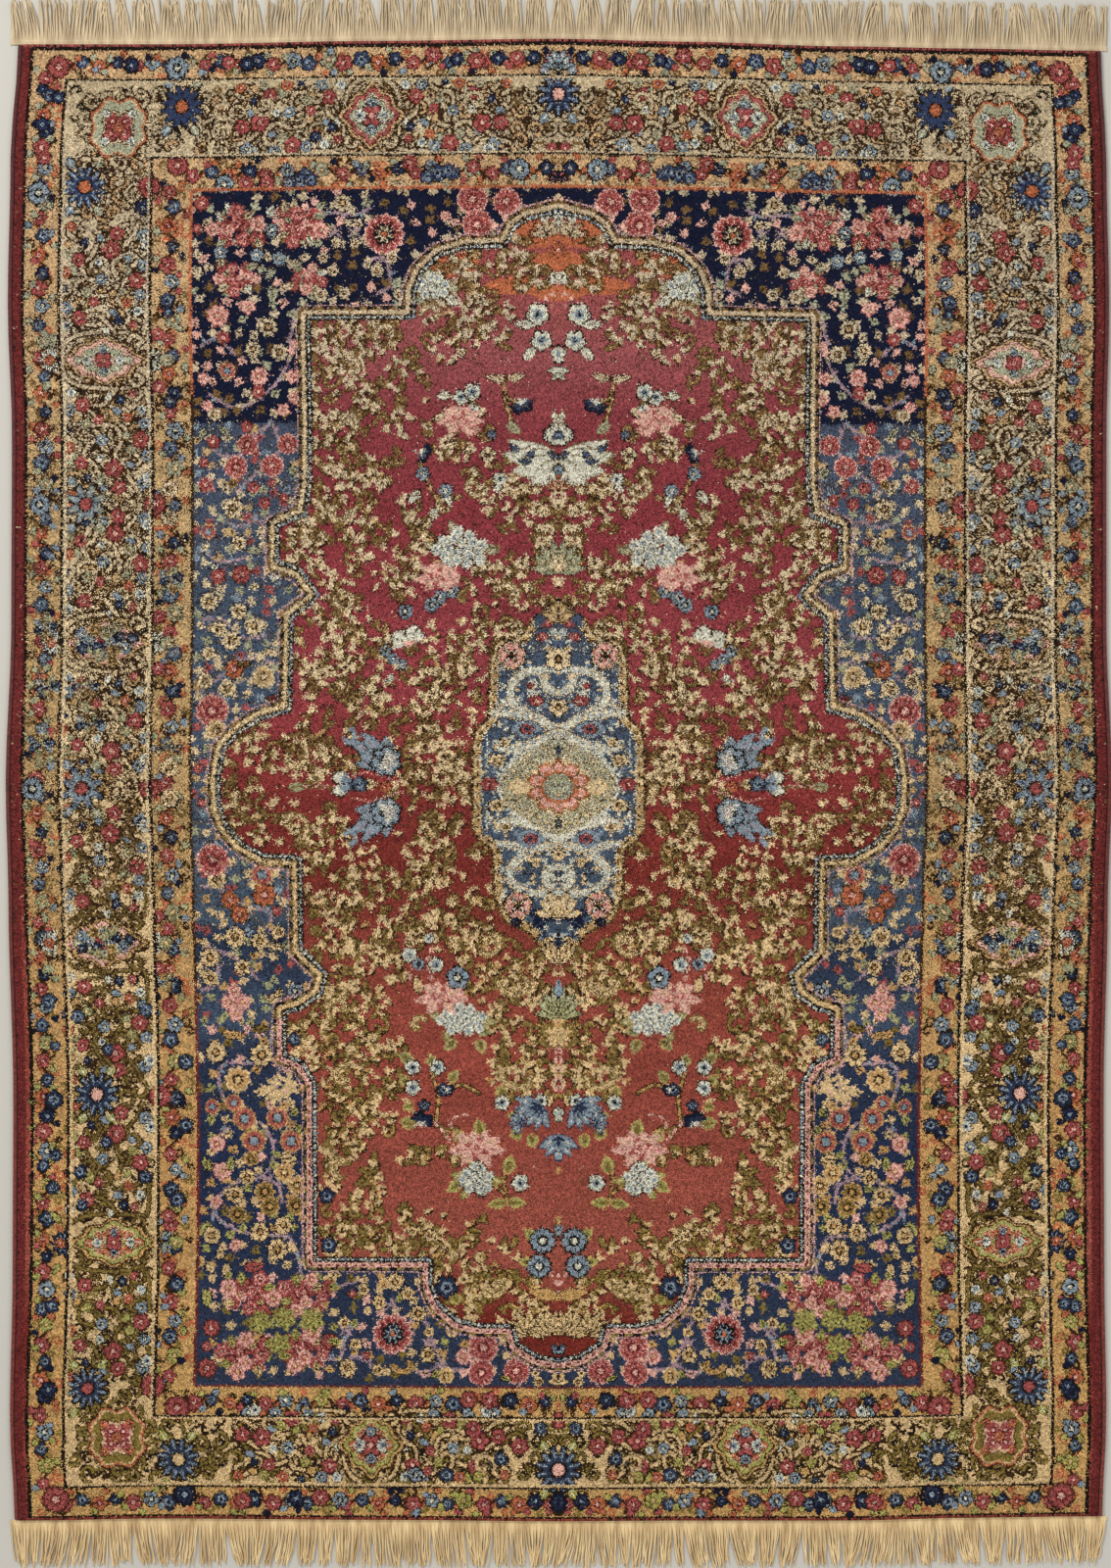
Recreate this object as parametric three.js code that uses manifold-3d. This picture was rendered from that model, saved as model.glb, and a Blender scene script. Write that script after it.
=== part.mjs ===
// A hand-knotted Persian rug with a cotton fringe at each end, lying flat.
// Millimetres, +Z up. The origin is on the floor under the middle of the rug, and +Y runs towards its top end.
// The pile body, the two overcast side cords and the two fringed end bands are separate closed solids.

import * as THREE from 'three';
import { mergeVertices } from 'three/addons/utils/BufferGeometryUtils.js';
import Module from 'manifold-3d';

const wasm = await Module();
wasm.setup();

// Driving dimensions
const KNOT = 1.4; // pitch of the knots, both ways
const KNOTS_ACROSS = 1110;
const KNOTS_ALONG = 1510;
const HALF_WIDTH = (KNOT * KNOTS_ACROSS) / 2; // of the knotted pile
const HALF_LENGTH = (KNOT * KNOTS_ALONG) / 2;
const PILE_TOP = 9; // foundation and pile together
const SEAM_GAP = 0.3; // between neighbouring pieces
const CORD_WIDTH = 7; // overcast side cord
const CORD_HEIGHT = 7;
const BAND_WIDTH = 6.5; // flat-woven end band that the fringe grows from
const BAND_HEIGHT = 3;
const FRINGE_LENGTH = 64; // from the band to the tips
const LOCKS_PER_END = 120;
const LOCK_WIDTH = 8.4;
const LOCK_HEIGHT = 2.4;

// How far each long side bulges beyond its straight line, at places along the rug.
const SIDE_BULGES = [
  { at: -1058, left: -6, right: -6 },
  { at: -914, left: 1, right: 0 },
  { at: -704, left: -3, right: -3 },
  { at: -452, left: -4, right: -4 },
  { at: -172, left: 3, right: 2 },
  { at: -4, left: 7, right: 8 },
  { at: 220, left: -1, right: 0 },
  { at: 500, left: -2, right: 0 },
  { at: 682, left: 4, right: 4 },
  { at: 892, left: 0, right: 0 },
  { at: 1058, left: -11, right: -8 },
];

// The same for the two ends, at places across the rug.
const END_BULGES = [
  { at: -753, bottom: 0, top: -4 },
  { at: -585, bottom: -3, top: -4 },
  { at: -250, bottom: -1, top: 1 },
  { at: 0, bottom: 1, top: 4 },
  { at: 170, bottom: 0, top: 0 },
  { at: 420, bottom: 0, top: -7 },
  { at: 590, bottom: -4, top: -10 },
  { at: 759, bottom: -6, top: -13 },
];

// A value of a table's column, eased from one row to the next.
function eased(rows, column, at) {
  const place = THREE.MathUtils.clamp(at, rows[0].at, rows[rows.length - 1].at);
  const next = Math.max(1, rows.findIndex((row) => row.at >= place));
  const [before, after] = [rows[next - 1], rows[next]];
  const share = THREE.MathUtils.smoothstep(place, before.at, after.at);
  return THREE.MathUtils.lerp(before[column], after[column], share);
}

// Moves a point of the straight-sided rug to where the uneven real one has it.
function warped(x, y) {
  const side = eased(SIDE_BULGES, x < 0 ? 'left' : 'right', y);
  const end = eased(END_BULGES, y < 0 ? 'bottom' : 'top', x);
  return new THREE.Vector2(x * (1 + side / HALF_WIDTH), y * (1 + end / HALF_LENGTH));
}

// A closed solid through rings of points, each ring with the same number of points.
function loft(rings) {
  const sides = rings[0].length;
  const centre = (ring) => ring.reduce((sum, p) => sum.add(p), new THREE.Vector3()).divideScalar(sides);
  const points = [...rings.flat(), centre(rings[0]), centre(rings[rings.length - 1])];
  const [startCentre, endCentre] = [points.length - 2, points.length - 1];
  const lastRing = (rings.length - 1) * sides;
  const index = [];
  for (let side = 0; side < sides; side++) {
    const next = (side + 1) % sides;
    for (let ring = 0; ring < rings.length - 1; ring++) {
      const [low, high] = [ring * sides, (ring + 1) * sides];
      index.push(low + side, low + next, high + next);
      index.push(low + side, high + next, high + side);
    }
    index.push(startCentre, next, side);
    index.push(endCentre, lastRing + side, lastRing + next);
  }
  const geometry = new THREE.BufferGeometry();
  geometry.setAttribute('position', new THREE.Float32BufferAttribute(points.flatMap((p) => p.toArray()), 3));
  geometry.setIndex(index);
  return geometry;
}

// Evenly spaced numbers, both ends included.
function spaced(from, to, steps) {
  return Array.from({ length: steps + 1 }, (_, i) => THREE.MathUtils.lerp(from, to, i / steps));
}

// Repeatable random numbers from 0 to 1.
function randomSource(seed) {
  let state = seed;
  return () => {
    state = (state * 16807) % 2147483647;
    return state / 2147483647;
  };
}

// Pile body: rings of the outline, from the floor to the clipped top, drawn in where the pile rounds over.
const PILE_RINGS = [
  { inset: 1, z: 0 },
  { inset: 0, z: 1.5 },
  { inset: 0, z: 6.2 },
  { inset: 1.4, z: 8.2 },
  { inset: 4.5, z: PILE_TOP },
];
const STEPS_ALONG = 40;
const STEPS_ACROSS = 28;

function pileOutline(inset) {
  const [w, l] = [HALF_WIDTH - inset, HALF_LENGTH - inset];
  return [
    ...spaced(-w, w, STEPS_ACROSS).slice(0, -1).map((x) => [x, -l]),
    ...spaced(-l, l, STEPS_ALONG).slice(0, -1).map((y) => [w, y]),
    ...spaced(w, -w, STEPS_ACROSS).slice(0, -1).map((x) => [x, l]),
    ...spaced(l, -l, STEPS_ALONG).slice(0, -1).map((y) => [-w, y]),
  ].map(([x, y]) => warped(x, y));
}

function pileBody() {
  return loft(PILE_RINGS.map(({ inset, z }) => pileOutline(inset).map((p) => new THREE.Vector3(p.x, p.y, z))));
}

// Side cord: a D-shaped section, flat against the pile and on the floor, carried along the long side.
const CORD_SECTION = [
  { out: 0, z: 0 },
  { out: 0.72, z: 0 },
  { out: 0.95, z: 0.2 },
  { out: 1, z: 0.48 },
  { out: 0.9, z: 0.78 },
  { out: 0.62, z: 0.97 },
  { out: 0.3, z: 1 },
  { out: 0, z: 0.84 },
];

function sideCord(side) {
  const rings = spaced(-HALF_LENGTH, HALF_LENGTH, STEPS_ALONG).map((y) => {
    const edge = warped(side * HALF_WIDTH, y);
    const ring = CORD_SECTION.map(
      ({ out, z }) => new THREE.Vector3(edge.x + side * (SEAM_GAP + out * CORD_WIDTH), edge.y, z * CORD_HEIGHT),
    );
    return side < 0 ? ring : ring.reverse();
  });
  return loft(rings);
}

// End band: a flat strip outside the end of the pile, as wide as the pile and both cords.
const BAND_SECTION = [
  { out: 0, z: 0 },
  { out: 1, z: 0 },
  { out: 1, z: 0.6 },
  { out: 0.8, z: 1 },
  { out: 0, z: 1 },
];
const BAND_REACH = HALF_WIDTH + SEAM_GAP + CORD_WIDTH;

function endBand(end) {
  const rings = spaced(-BAND_REACH, BAND_REACH, STEPS_ACROSS).map((x) => {
    const edge = warped(x, end * HALF_LENGTH);
    const ring = BAND_SECTION.map(
      ({ out, z }) => new THREE.Vector3(edge.x, edge.y + end * (SEAM_GAP + out * BAND_WIDTH), z * BAND_HEIGHT),
    );
    return end > 0 ? ring : ring.reverse();
  });
  return loft(rings);
}

// Fringe lock: a flat tapering strand that leans with its neighbours and lies level on the floor.
const LOCK_STATIONS = [
  { along: 0, width: 1, height: 1, drift: 0 },
  { along: 0.4, width: 1, height: 1, drift: 0.25 },
  { along: 0.75, width: 0.86, height: 0.9, drift: 0.7 },
  { along: 1, width: 0.5, height: 0.6, drift: 1 },
];
const LOCK_ROOT = 0.5; // share of the band's width that a lock starts inside it
const LOCK_TOP = 0.6; // width of a lock's top against its foot
const LEAN = { most: 9, wave: 105, twist: 1.2 }; // sideways drift, the length it varies over, and chance beyond it
const LENGTH_CHANCE = 8;

function fringeLock(end, x, random) {
  const root = warped(x, end * HALF_LENGTH);
  const start = root.y + end * (SEAM_GAP + BAND_WIDTH * (1 - LOCK_ROOT));
  const length = BAND_WIDTH * LOCK_ROOT + FRINGE_LENGTH + (random() - 0.5) * LENGTH_CHANCE;
  const outwards = (x / BAND_REACH) ** 5 * LEAN.most;
  const lean = LEAN.most * Math.sin(x / LEAN.wave) * 0.5 + outwards + (random() - 0.5) * LEAN.twist;
  const rings = LOCK_STATIONS.map(({ along, width, height, drift }) => {
    const [cx, y, z] = [root.x + lean * drift, start + end * length * along, LOCK_HEIGHT * height];
    const [foot, top] = [(LOCK_WIDTH * width) / 2, (LOCK_WIDTH * width * LOCK_TOP) / 2];
    const ring = [
      new THREE.Vector3(cx - foot, y, 0),
      new THREE.Vector3(cx - top, y, z),
      new THREE.Vector3(cx + top, y, z),
      new THREE.Vector3(cx + foot, y, 0),
    ];
    return end > 0 ? ring : ring.reverse();
  });
  return loft(rings);
}

// Closed geometry to a manifold solid, and back.
function toSolid(geometry) {
  const merged = mergeVertices(geometry);
  return new wasm.Manifold(
    new wasm.Mesh({
      numProp: 3,
      vertProperties: new Float32Array(merged.attributes.position.array),
      triVerts: new Uint32Array(merged.index.array),
    }),
  );
}

function toGeometry(solid) {
  const mesh = solid.getMesh();
  const geometry = new THREE.BufferGeometry();
  geometry.setAttribute('position', new THREE.BufferAttribute(mesh.vertProperties, 3));
  geometry.setIndex(new THREE.BufferAttribute(mesh.triVerts, 1));
  return geometry;
}

function fringedEnd(end, seed) {
  const random = randomSource(seed);
  const reach = BAND_REACH - LOCK_WIDTH / 2 - 1;
  const locks = spaced(-reach, reach, LOCKS_PER_END - 1).map((x) => toSolid(fringeLock(end, x, random)));
  return toGeometry(locks.reduce((whole, lock) => whole.add(lock), toSolid(endBand(end))));
}

// Materials
const wool = new THREE.MeshStandardMaterial({ color: 0x8e4a44, roughness: 0.95, metalness: 0 });
const redYarn = new THREE.MeshStandardMaterial({ color: 0x8c3a3c, roughness: 0.85, metalness: 0 });
const cotton = new THREE.MeshStandardMaterial({ color: 0xd2ba8f, roughness: 0.9, metalness: 0 });

const rug = new THREE.Group();

function addPiece(name, geometry, material) {
  const mesh = new THREE.Mesh(geometry, material);
  mesh.name = name;
  rug.add(mesh);
}

addPiece('pile_body', pileBody(), wool);
addPiece('side_cord_left', sideCord(-1), redYarn);
addPiece('side_cord_right', sideCord(1), redYarn);
addPiece('fringe_top', fringedEnd(1, 11), cotton);
addPiece('fringe_bottom', fringedEnd(-1, 29), cotton);

export default rug;
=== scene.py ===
# %% [markdown]
# # A hand-knotted rug, knot by knot
#
# A rug of one and a half by two metres: a dark red field of leafy scrolls, a pale blue medallion, dark
# blue corner ground, and a broad ivory border between two golden ones. It looks real not by its shape,
# which is nearly flat, but because every patch of colour is made of whole knots. So this lesson ties it
# as a weaver does: first a chart with one square for each knot, then wool, edges and fringe round it.

# %% Start
import math
import random

import bpy
import numpy as np
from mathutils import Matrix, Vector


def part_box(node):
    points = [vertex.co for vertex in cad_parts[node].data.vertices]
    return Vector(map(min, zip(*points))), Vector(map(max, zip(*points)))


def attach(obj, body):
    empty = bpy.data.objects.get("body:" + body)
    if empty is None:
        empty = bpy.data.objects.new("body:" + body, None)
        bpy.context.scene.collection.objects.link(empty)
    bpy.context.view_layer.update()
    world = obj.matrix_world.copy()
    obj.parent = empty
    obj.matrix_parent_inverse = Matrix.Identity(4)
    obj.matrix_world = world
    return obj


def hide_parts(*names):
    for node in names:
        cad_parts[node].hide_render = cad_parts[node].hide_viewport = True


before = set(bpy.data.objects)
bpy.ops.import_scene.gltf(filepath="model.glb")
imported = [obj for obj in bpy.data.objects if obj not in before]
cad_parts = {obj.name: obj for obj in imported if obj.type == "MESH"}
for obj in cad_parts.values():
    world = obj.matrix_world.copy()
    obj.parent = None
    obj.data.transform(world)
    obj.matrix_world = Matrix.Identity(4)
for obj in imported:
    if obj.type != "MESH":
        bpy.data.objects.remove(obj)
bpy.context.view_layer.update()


def placed(name, data):
    """A new object in the scene for a mesh, a lamp or a camera."""
    made = bpy.data.objects.new(name, data)
    bpy.context.scene.collection.objects.link(made)
    return made


# %% [markdown]
# ## The camera
# It hangs straight above and looks down without any turn. A long lens from high up keeps the edges from
# leaning outwards. The picture is 1600 knots of 1.4 mm high, and the camera's height follows from that.

# %% The camera
KNOT = 0.0014  # one knot of the pile, in metres
PICTURE_HIGH = 1600  # knots from the picture's head to its foot
AXIS_OFFSET = 3  # the rug's middle is this many knots from the middle of the view, both ways
LENS, SENSOR = 0.085, 0.036
PILE_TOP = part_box("pile_body")[1].z

camera_data = bpy.data.cameras.new("above")
camera_data.lens = LENS * 1000
camera_data.sensor_width = SENSOR * 1000
camera = placed("above", camera_data)
camera_height = PILE_TOP + PICTURE_HIGH * KNOT * LENS / SENSOR
camera.location = (-AXIS_OFFSET * KNOT, -AXIS_OFFSET * KNOT, camera_height)
bpy.context.scene.camera = camera
print("camera height", round(camera_height, 2), "m")

# %% [markdown]
# ## A chart of knots
# Such a carpet is tied from a chart on squared paper, one square a knot. A picture laid over a flat mesh
# would have no knots in it and go soft when the camera comes near. So the chart itself is rebuilt, an
# array with a number from 0 to 15 for each knot, and small functions draw every motif into it. The design
# is mirrored about the long axis, so only the left half is drawn.

# %% The sixteen dyes, and the half chart
(RED, WINE, ROSE, PINK, CORAL, IVORY, GOLD, OLIVE, BROWN, BLACK, NAVY, BLUE, SKY, SAGE,
 WHITE, LILAC) = range(16)
LEFT, TOP, AXIS, BOTTOM = 15, 42, 570, 1552  # the plate's columns and rows where the pile begins and ends

chart = np.full((BOTTOM - TOP, AXIS - LEFT), RED, np.uint8)
columns = np.arange(LEFT, AXIS)[None, :] + 0.5
rows = np.arange(TOP, BOTTOM)[:, None] + 0.5
chance = random.Random(12)
between = chance.uniform
print("half chart:", chart.shape[0], "rows of", chart.shape[1], "knots")


# %% A window of the chart round one place
def near(x, y, reach, array=chart):
    """The knots round x, y, with each one's distance from it across and down."""
    left, right = max(LEFT, int(x - reach)), min(AXIS, int(x + reach) + 2)
    high, low = max(TOP, int(y - reach)), min(BOTTOM, int(y + reach) + 2)
    window = (slice(max(0, high - TOP), max(0, low - TOP)), slice(max(0, left - LEFT), max(0, right - LEFT)))
    return array[window], columns[:, window[1]] - x, rows[window[0]] - y


def loose_grid(box, pitch, jitter):
    """Places on a grid, each moved a little by chance, and the knot of the chart under each."""
    for grid_x in np.arange(box[0], box[2], pitch):
        for grid_y in np.arange(box[1], box[3], pitch):
            x, y = grid_x + between(-jitter, jitter), grid_y + between(-jitter, jitter)
            yield x, y, (int(min(y, BOTTOM - 1)) - TOP, int(min(x, AXIS - 1)) - LEFT)


SEED_TURN = 2.4  # radians from one seed of a sunflower to the next


def seeds(x, y, wide, high, count, start=0.0):
    """Number, angle and place of each of a heap's pieces, laid like the seeds of a sunflower."""
    for i in range(count):
        angle, reach = i * SEED_TURN + start, math.sqrt((i + 0.5) / count)
        yield i, angle, x + wide * reach * math.cos(angle), y + high * reach * math.sin(angle)


# %% [markdown]
# ## Flowers
# Knotted flowers are rings: a dark outline, petals, a lighter row and an eye. A few kinds return again
# and again in other sizes. Each is a list of rings, as shares of the radius, and a cosine scallops the
# rim into petals.

# %% Flowers
FLOWERS = {
    "rose": ((1, BROWN), (0.9, WINE), (0.78, ROSE), (0.42, WINE), (0.2, PINK)),
    "madder": ((1, PINK), (0.9, ROSE), (0.72, WINE), (0.62, ROSE), (0.4, WINE), (0.2, PINK)),
    "peony": ((1, WINE), (0.9, ROSE), (0.6, PINK), (0.48, ROSE), (0.3, WINE), (0.14, PINK)),
    "blue": ((1, BLACK), (0.84, BLUE), (0.46, SKY), (0.24, NAVY)),
    "navy": ((1, BLACK), (0.84, NAVY), (0.62, BLUE), (0.4, NAVY), (0.2, SKY)),
    "grey": ((1, BLACK), (0.84, SKY), (0.4, BLACK), (0.22, WHITE)),
    "white": ((1, BLACK), (0.86, WHITE), (0.4, SKY), (0.2, BLACK)),
    "cluster": ((1, BLACK), (0.9, WHITE), (0.34, SKY)),
    "dahlia": ((1, OLIVE), (0.95, CORAL), (0.86, PINK), (0.68, CORAL), (0.5, OLIVE)),
    "cream": ((1, BLACK), (0.88, IVORY), (0.44, BROWN), (0.22, GOLD)),
    "gold": ((1, IVORY), (0.8, GOLD), (0.42, BROWN), (0.22, IVORY)),
    "pink": ((1, ROSE), (0.92, PINK), (0.45, ROSE), (0.2, IVORY)),
    "dusty": ((1, GOLD), (0.85, ROSE), (0.5, BROWN), (0.36, SKY)),
    "coral": ((1, BROWN), (0.86, CORAL), (0.42, WINE), (0.2, PINK)),
    "sage": ((1, BROWN), (0.86, SAGE), (0.4, OLIVE), (0.2, IVORY)),
    "brown": ((1, GOLD), (0.8, OLIVE), (0.5, BROWN), (0.25, GOLD)),
}


def bloom(kind, x, y, r, petals=6, turn=0.3, squash=1.0, depth=0.26):
    """Rings of colour with a scalloped rim, and a dark cleft between the petals of a large one."""
    rings = FLOWERS[kind]
    cells, across, along = near(x, y, r + 2)
    along = along / squash
    radius, angle = np.hypot(across, along), np.arctan2(along, across) + turn
    wave = 2 * np.sqrt(np.abs(np.cos(petals * angle / 2))) - 1
    scallop = 1 - depth * (0.5 - 0.5 * wave)
    for share, colour in rings:
        cells[radius < r * share * (scallop if share > 0.4 else 1)] = colour
    if r > 8:
        cells[(wave < -0.2) & (radius > r * 0.42) & (radius < r * 0.8)] = rings[0][1]


def star(x, y, r, petals, petal, tip, heart):
    """Straight narrow petals round a dark ring and a heart, as the border's large blue flowers have."""
    cells, across, along = near(x, y, r + 2)
    radius, angle = np.hypot(across, along), np.arctan2(along, across)
    aside = np.abs((angle * petals / (2 * math.pi)) % 1 - 0.5) * (2 * math.pi / petals) * radius
    share = radius / r
    half = 0.19 * r * (1.5 - share)
    cells[(share < 1.04) & (aside < half + 0.9)] = BLACK
    body = (share < 0.94) & (aside < half - 0.6)
    cells[body] = petal
    cells[body & (share > 0.5) & (aside < 0.9)] = tip
    cells[share < 0.36] = BLACK
    cells[share < 0.27] = heart


# %% [markdown]
# ## Leaves, fans and stems
# A leaf is one bulge of a sine along a line. Opened like a hand of cards it gives palmettes and sprays,
# and stems are curves through a few points. All places are in the picture's pixels, one for each knot.

# %% Leaves and fans
def leaf(x, y, length, width, angle, colour, edge=None, vein=None):
    """A pointed leaf that starts at x, y and grows along the angle."""
    cells, across, along = near(x, y, length + 3)
    forward = across * math.cos(angle) + along * math.sin(angle)
    aside = np.abs(along * math.cos(angle) - across * math.sin(angle))
    share = np.clip((forward + 0.5) / (length + 1), 0, 1)
    half = width / 2 * np.sin(math.pi * share ** 0.8) + 0.2
    on = (forward > -1) & (forward < length + 1)
    if edge is not None:
        cells[on & (aside < half + 1.1)] = edge
    cells[on & (aside < half) & (forward > 0) & (forward < length)] = colour
    if vein is not None:
        cells[(aside < 0.6) & (forward > 0) & (forward < length * 0.75)] = vein


def spread(x, y, size, count, angle, opening, colour, edge=None, vein=None, slim=0.4):
    """Leaves that open like a fan from one point, 2 pi of opening for a full ring."""
    steps = count if opening > 6 else max(1, count - 1)
    for i in range(count):
        leaf(x, y, size, size * slim, angle - opening / 2 + opening * i / steps, colour, edge, vein)


def fan(x, y, r, angle, opening, outer, inner, heart, edge=BLACK):
    """A half-open flower: a toothed fan with a lighter band and a heart."""
    cells, across, along = near(x, y, r + 2)
    radius = np.hypot(across, along)
    turn = (np.arctan2(along, across) - angle + math.pi) % (2 * math.pi) - math.pi
    open_part = np.abs(turn) < opening / 2
    tooth = 1 - 0.18 * (0.5 + 0.5 * np.cos(turn * 14 / opening * math.pi / 3))
    for share, colour in ((1.08, edge), (1, outer), (0.72, inner), (0.34, heart)):
        cells[open_part & (radius < r * share * (tooth if share > 0.4 else 1))] = colour
    cells[open_part & (radius > 0.36 * r) & (radius < 0.9 * r) & (np.cos(turn * 9) > 0.93)] = edge


def put(motifs):
    """Draw a list of motifs, each a function and its values, in the order in which they overlap."""
    for motif, *values in motifs:
        motif(*values)


# %% Lines
STEP = 0.6  # knots between two points of a drawn line


def smooth(points):
    """A curve through every point."""
    points = np.array(points, float)
    padded = np.vstack([2 * points[0] - points[1], points, 2 * points[-1] - points[-2]])
    parts = []
    for a, b, c, d in zip(padded, padded[1:], padded[2:], padded[3:]):
        t = np.linspace(0, 1, max(2, int(np.hypot(*(c - b)) / STEP)), endpoint=False)[:, None]
        part = 2 * b + (c - a) * t + (2 * a - 5 * b + 4 * c - d) * t ** 2 + (3 * b - a - 3 * c + d) * t ** 3
        parts.append(part / 2)
    return np.vstack(parts + [points[-1:]])


def draw(line, width, colour, dash=None):
    """Colour the knots within half a width of the line, or every other dash of it."""
    reach = int(width / 2 + 1)
    kept = np.ones(len(line), bool) if dash is None else (np.arange(len(line)) // dash) % 2 == 0
    for i in range(-reach, reach + 1):
        for j in range(-reach, reach + 1):
            if math.hypot(i, j) > width / 2:
                continue
            across = np.floor(line[kept, 0] + i).astype(int) - LEFT
            down = np.floor(line[kept, 1] + j).astype(int) - TOP
            inside = (across >= 0) & (across < chart.shape[1]) & (down >= 0) & (down < chart.shape[0])
            chart[down[inside], across[inside]] = colour


def strap(line, width, colour, edge=BROWN):
    """A line with an outline."""
    draw(line, width + 2.2, edge)
    draw(line, width, colour)


def spiral(x, y, r, start, turns, hand, steps=50):
    """A curl that winds in to a quarter of its radius; hand is 1 or -1."""
    t = np.linspace(0, 1, steps)
    angle = start + hand * turns * 2 * math.pi * t
    radius = r * (1 - 0.72 * t)
    return np.stack([x + radius * np.cos(angle), y + radius * np.sin(angle)], 1)


# %% [markdown]
# ## Areas and the stripes that follow their edge
# Field and medallion are areas inside a drawn line. How often a row of knots crosses the line tells which
# knots lie inside. The distance to the line is kept too, for the beads that run beside it.

# %% Shapes with an outline
RIM_REACH, FAR = 16, 99.0  # knots: how far off a line is measured, and what stands beyond
PAST_AXIS = AXIS + 30  # a column past the long axis, where half an outline is closed


def closed(line):
    return np.vstack([line, [(PAST_AXIS, line[-1][1]), (PAST_AXIS, line[0][1])]])


def inside_of(outline):
    """True for the knots inside a closed outline."""
    inside = np.zeros(chart.shape, bool)
    for (ax, ay), (bx, by) in zip(outline, np.roll(outline, -1, axis=0)):
        if ay == by:
            continue
        high, low = sorted((ay, by))
        span = slice(max(0, math.ceil(high - TOP - 0.5)), max(0, math.ceil(low - TOP - 0.5)))
        crossing = ax + (rows[span] - ay) * (bx - ax) / (by - ay)
        inside[span] ^= columns < crossing
    return inside


def dense(outline):
    """Points close together along straight lines from corner to corner."""
    parts = []
    for a, b in zip(outline, outline[1:]):
        steps = max(2, int(math.hypot(b[0] - a[0], b[1] - a[1]) / STEP))
        parts.append(np.linspace(a, b, steps, endpoint=False))
    return np.vstack(parts + [np.array(outline[-1:], float)])


def measured(inside, line):
    """Each knot's distance from a line, negative outside it, and how far along the line it is nearest."""
    away, along = np.full(chart.shape, FAR), np.zeros(chart.shape)
    travelled = np.concatenate([[0], np.cumsum(np.hypot(*np.diff(line, axis=0).T))])
    for (px, py), distance in zip(line[::2], travelled[::2]):
        nearest, across, down = near(px, py, RIM_REACH, away)
        d = np.hypot(across, down)
        closer = d < nearest
        nearest[closer] = d[closer]
        near(px, py, RIM_REACH, along)[0][closer] = distance
    return np.where(inside, away, -away), along


def stripe(signed, along, start, end, colour, bead=0, bead_colour=0):
    """Colour the knots that lie between two distances from a line, with beads of a second colour."""
    on = (signed >= start) & (signed < end)
    chart[on] = colour
    if bead:
        chart[on & (along % bead < bead * 0.5)] = bead_colour


print("drawing tools ready:", len(FLOWERS), "kinds of flower")


# %% [markdown]
# ## The bands of the borders
# From the edge inwards lie a plain edge, an outer guard, the broad border and an inner guard, with thin
# lines between. Instead of eight frames drawn one by one, each knot gets a level that grows from 0 at the
# edge to 8 inside, and whatever is drawn in a band asks for it. The sides of the real rug wander by a few
# knots, so the levels bend with them.

# %% Levels of the borders
SIDE_STOPS = (15, 22, 25.5, 59.5, 62.5, 152.5, 155.5, 193, 196)
TOP_STOPS = (42, 42.7, 47.5, 76, 78, 156, 158, 189, 192)
BOTTOM_STOPS = (1552, 1551, 1548.5, 1520.5, 1518.5, 1449, 1447, 1418, 1415.5)
BAND_COLOURS = (RED, BLACK, GOLD, BROWN, IVORY, BROWN, GOLD, WINE, BLUE)


def band_depth(at, stops):
    """The level from 0 to 8 at a place, counted from the edge inwards."""
    sign = 1 if stops[0] < stops[-1] else -1
    return np.interp(sign * at, [sign * s for s in stops], range(9))


bend = np.interp(rows, (42, 650, 1000, 1250, 1552), (0, 0, 4, 5, 1)) * (columns < 300)
level = np.minimum(band_depth(columns - bend, SIDE_STOPS), band_depth(rows, TOP_STOPS))
level = np.minimum(level, band_depth(rows, BOTTOM_STOPS))
band = np.floor(level).astype(int)
chart[:] = np.array(BAND_COLOURS, np.uint8)[band]
chart[(columns < SIDE_STOPS[1]) & (rows > TOP_STOPS[1])] = WINE
NAVY_ENDS = 430  # the row where the dark wool of the corner ground ran out
GROUND = len(BAND_COLOURS) - 1  # the level of the corner ground
chart[(level >= GROUND) & (rows < NAVY_ENDS)] = NAVY
print("bands and lines between them:", GROUND)

# %% [markdown]
# ## The corner ground
# Between the inner guard and the field lies a blue ground, almost black at the head of the rug. Lilac
# vines come first, then sprigs of small leaves in the gaps, and the flowers last, on top.

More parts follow.
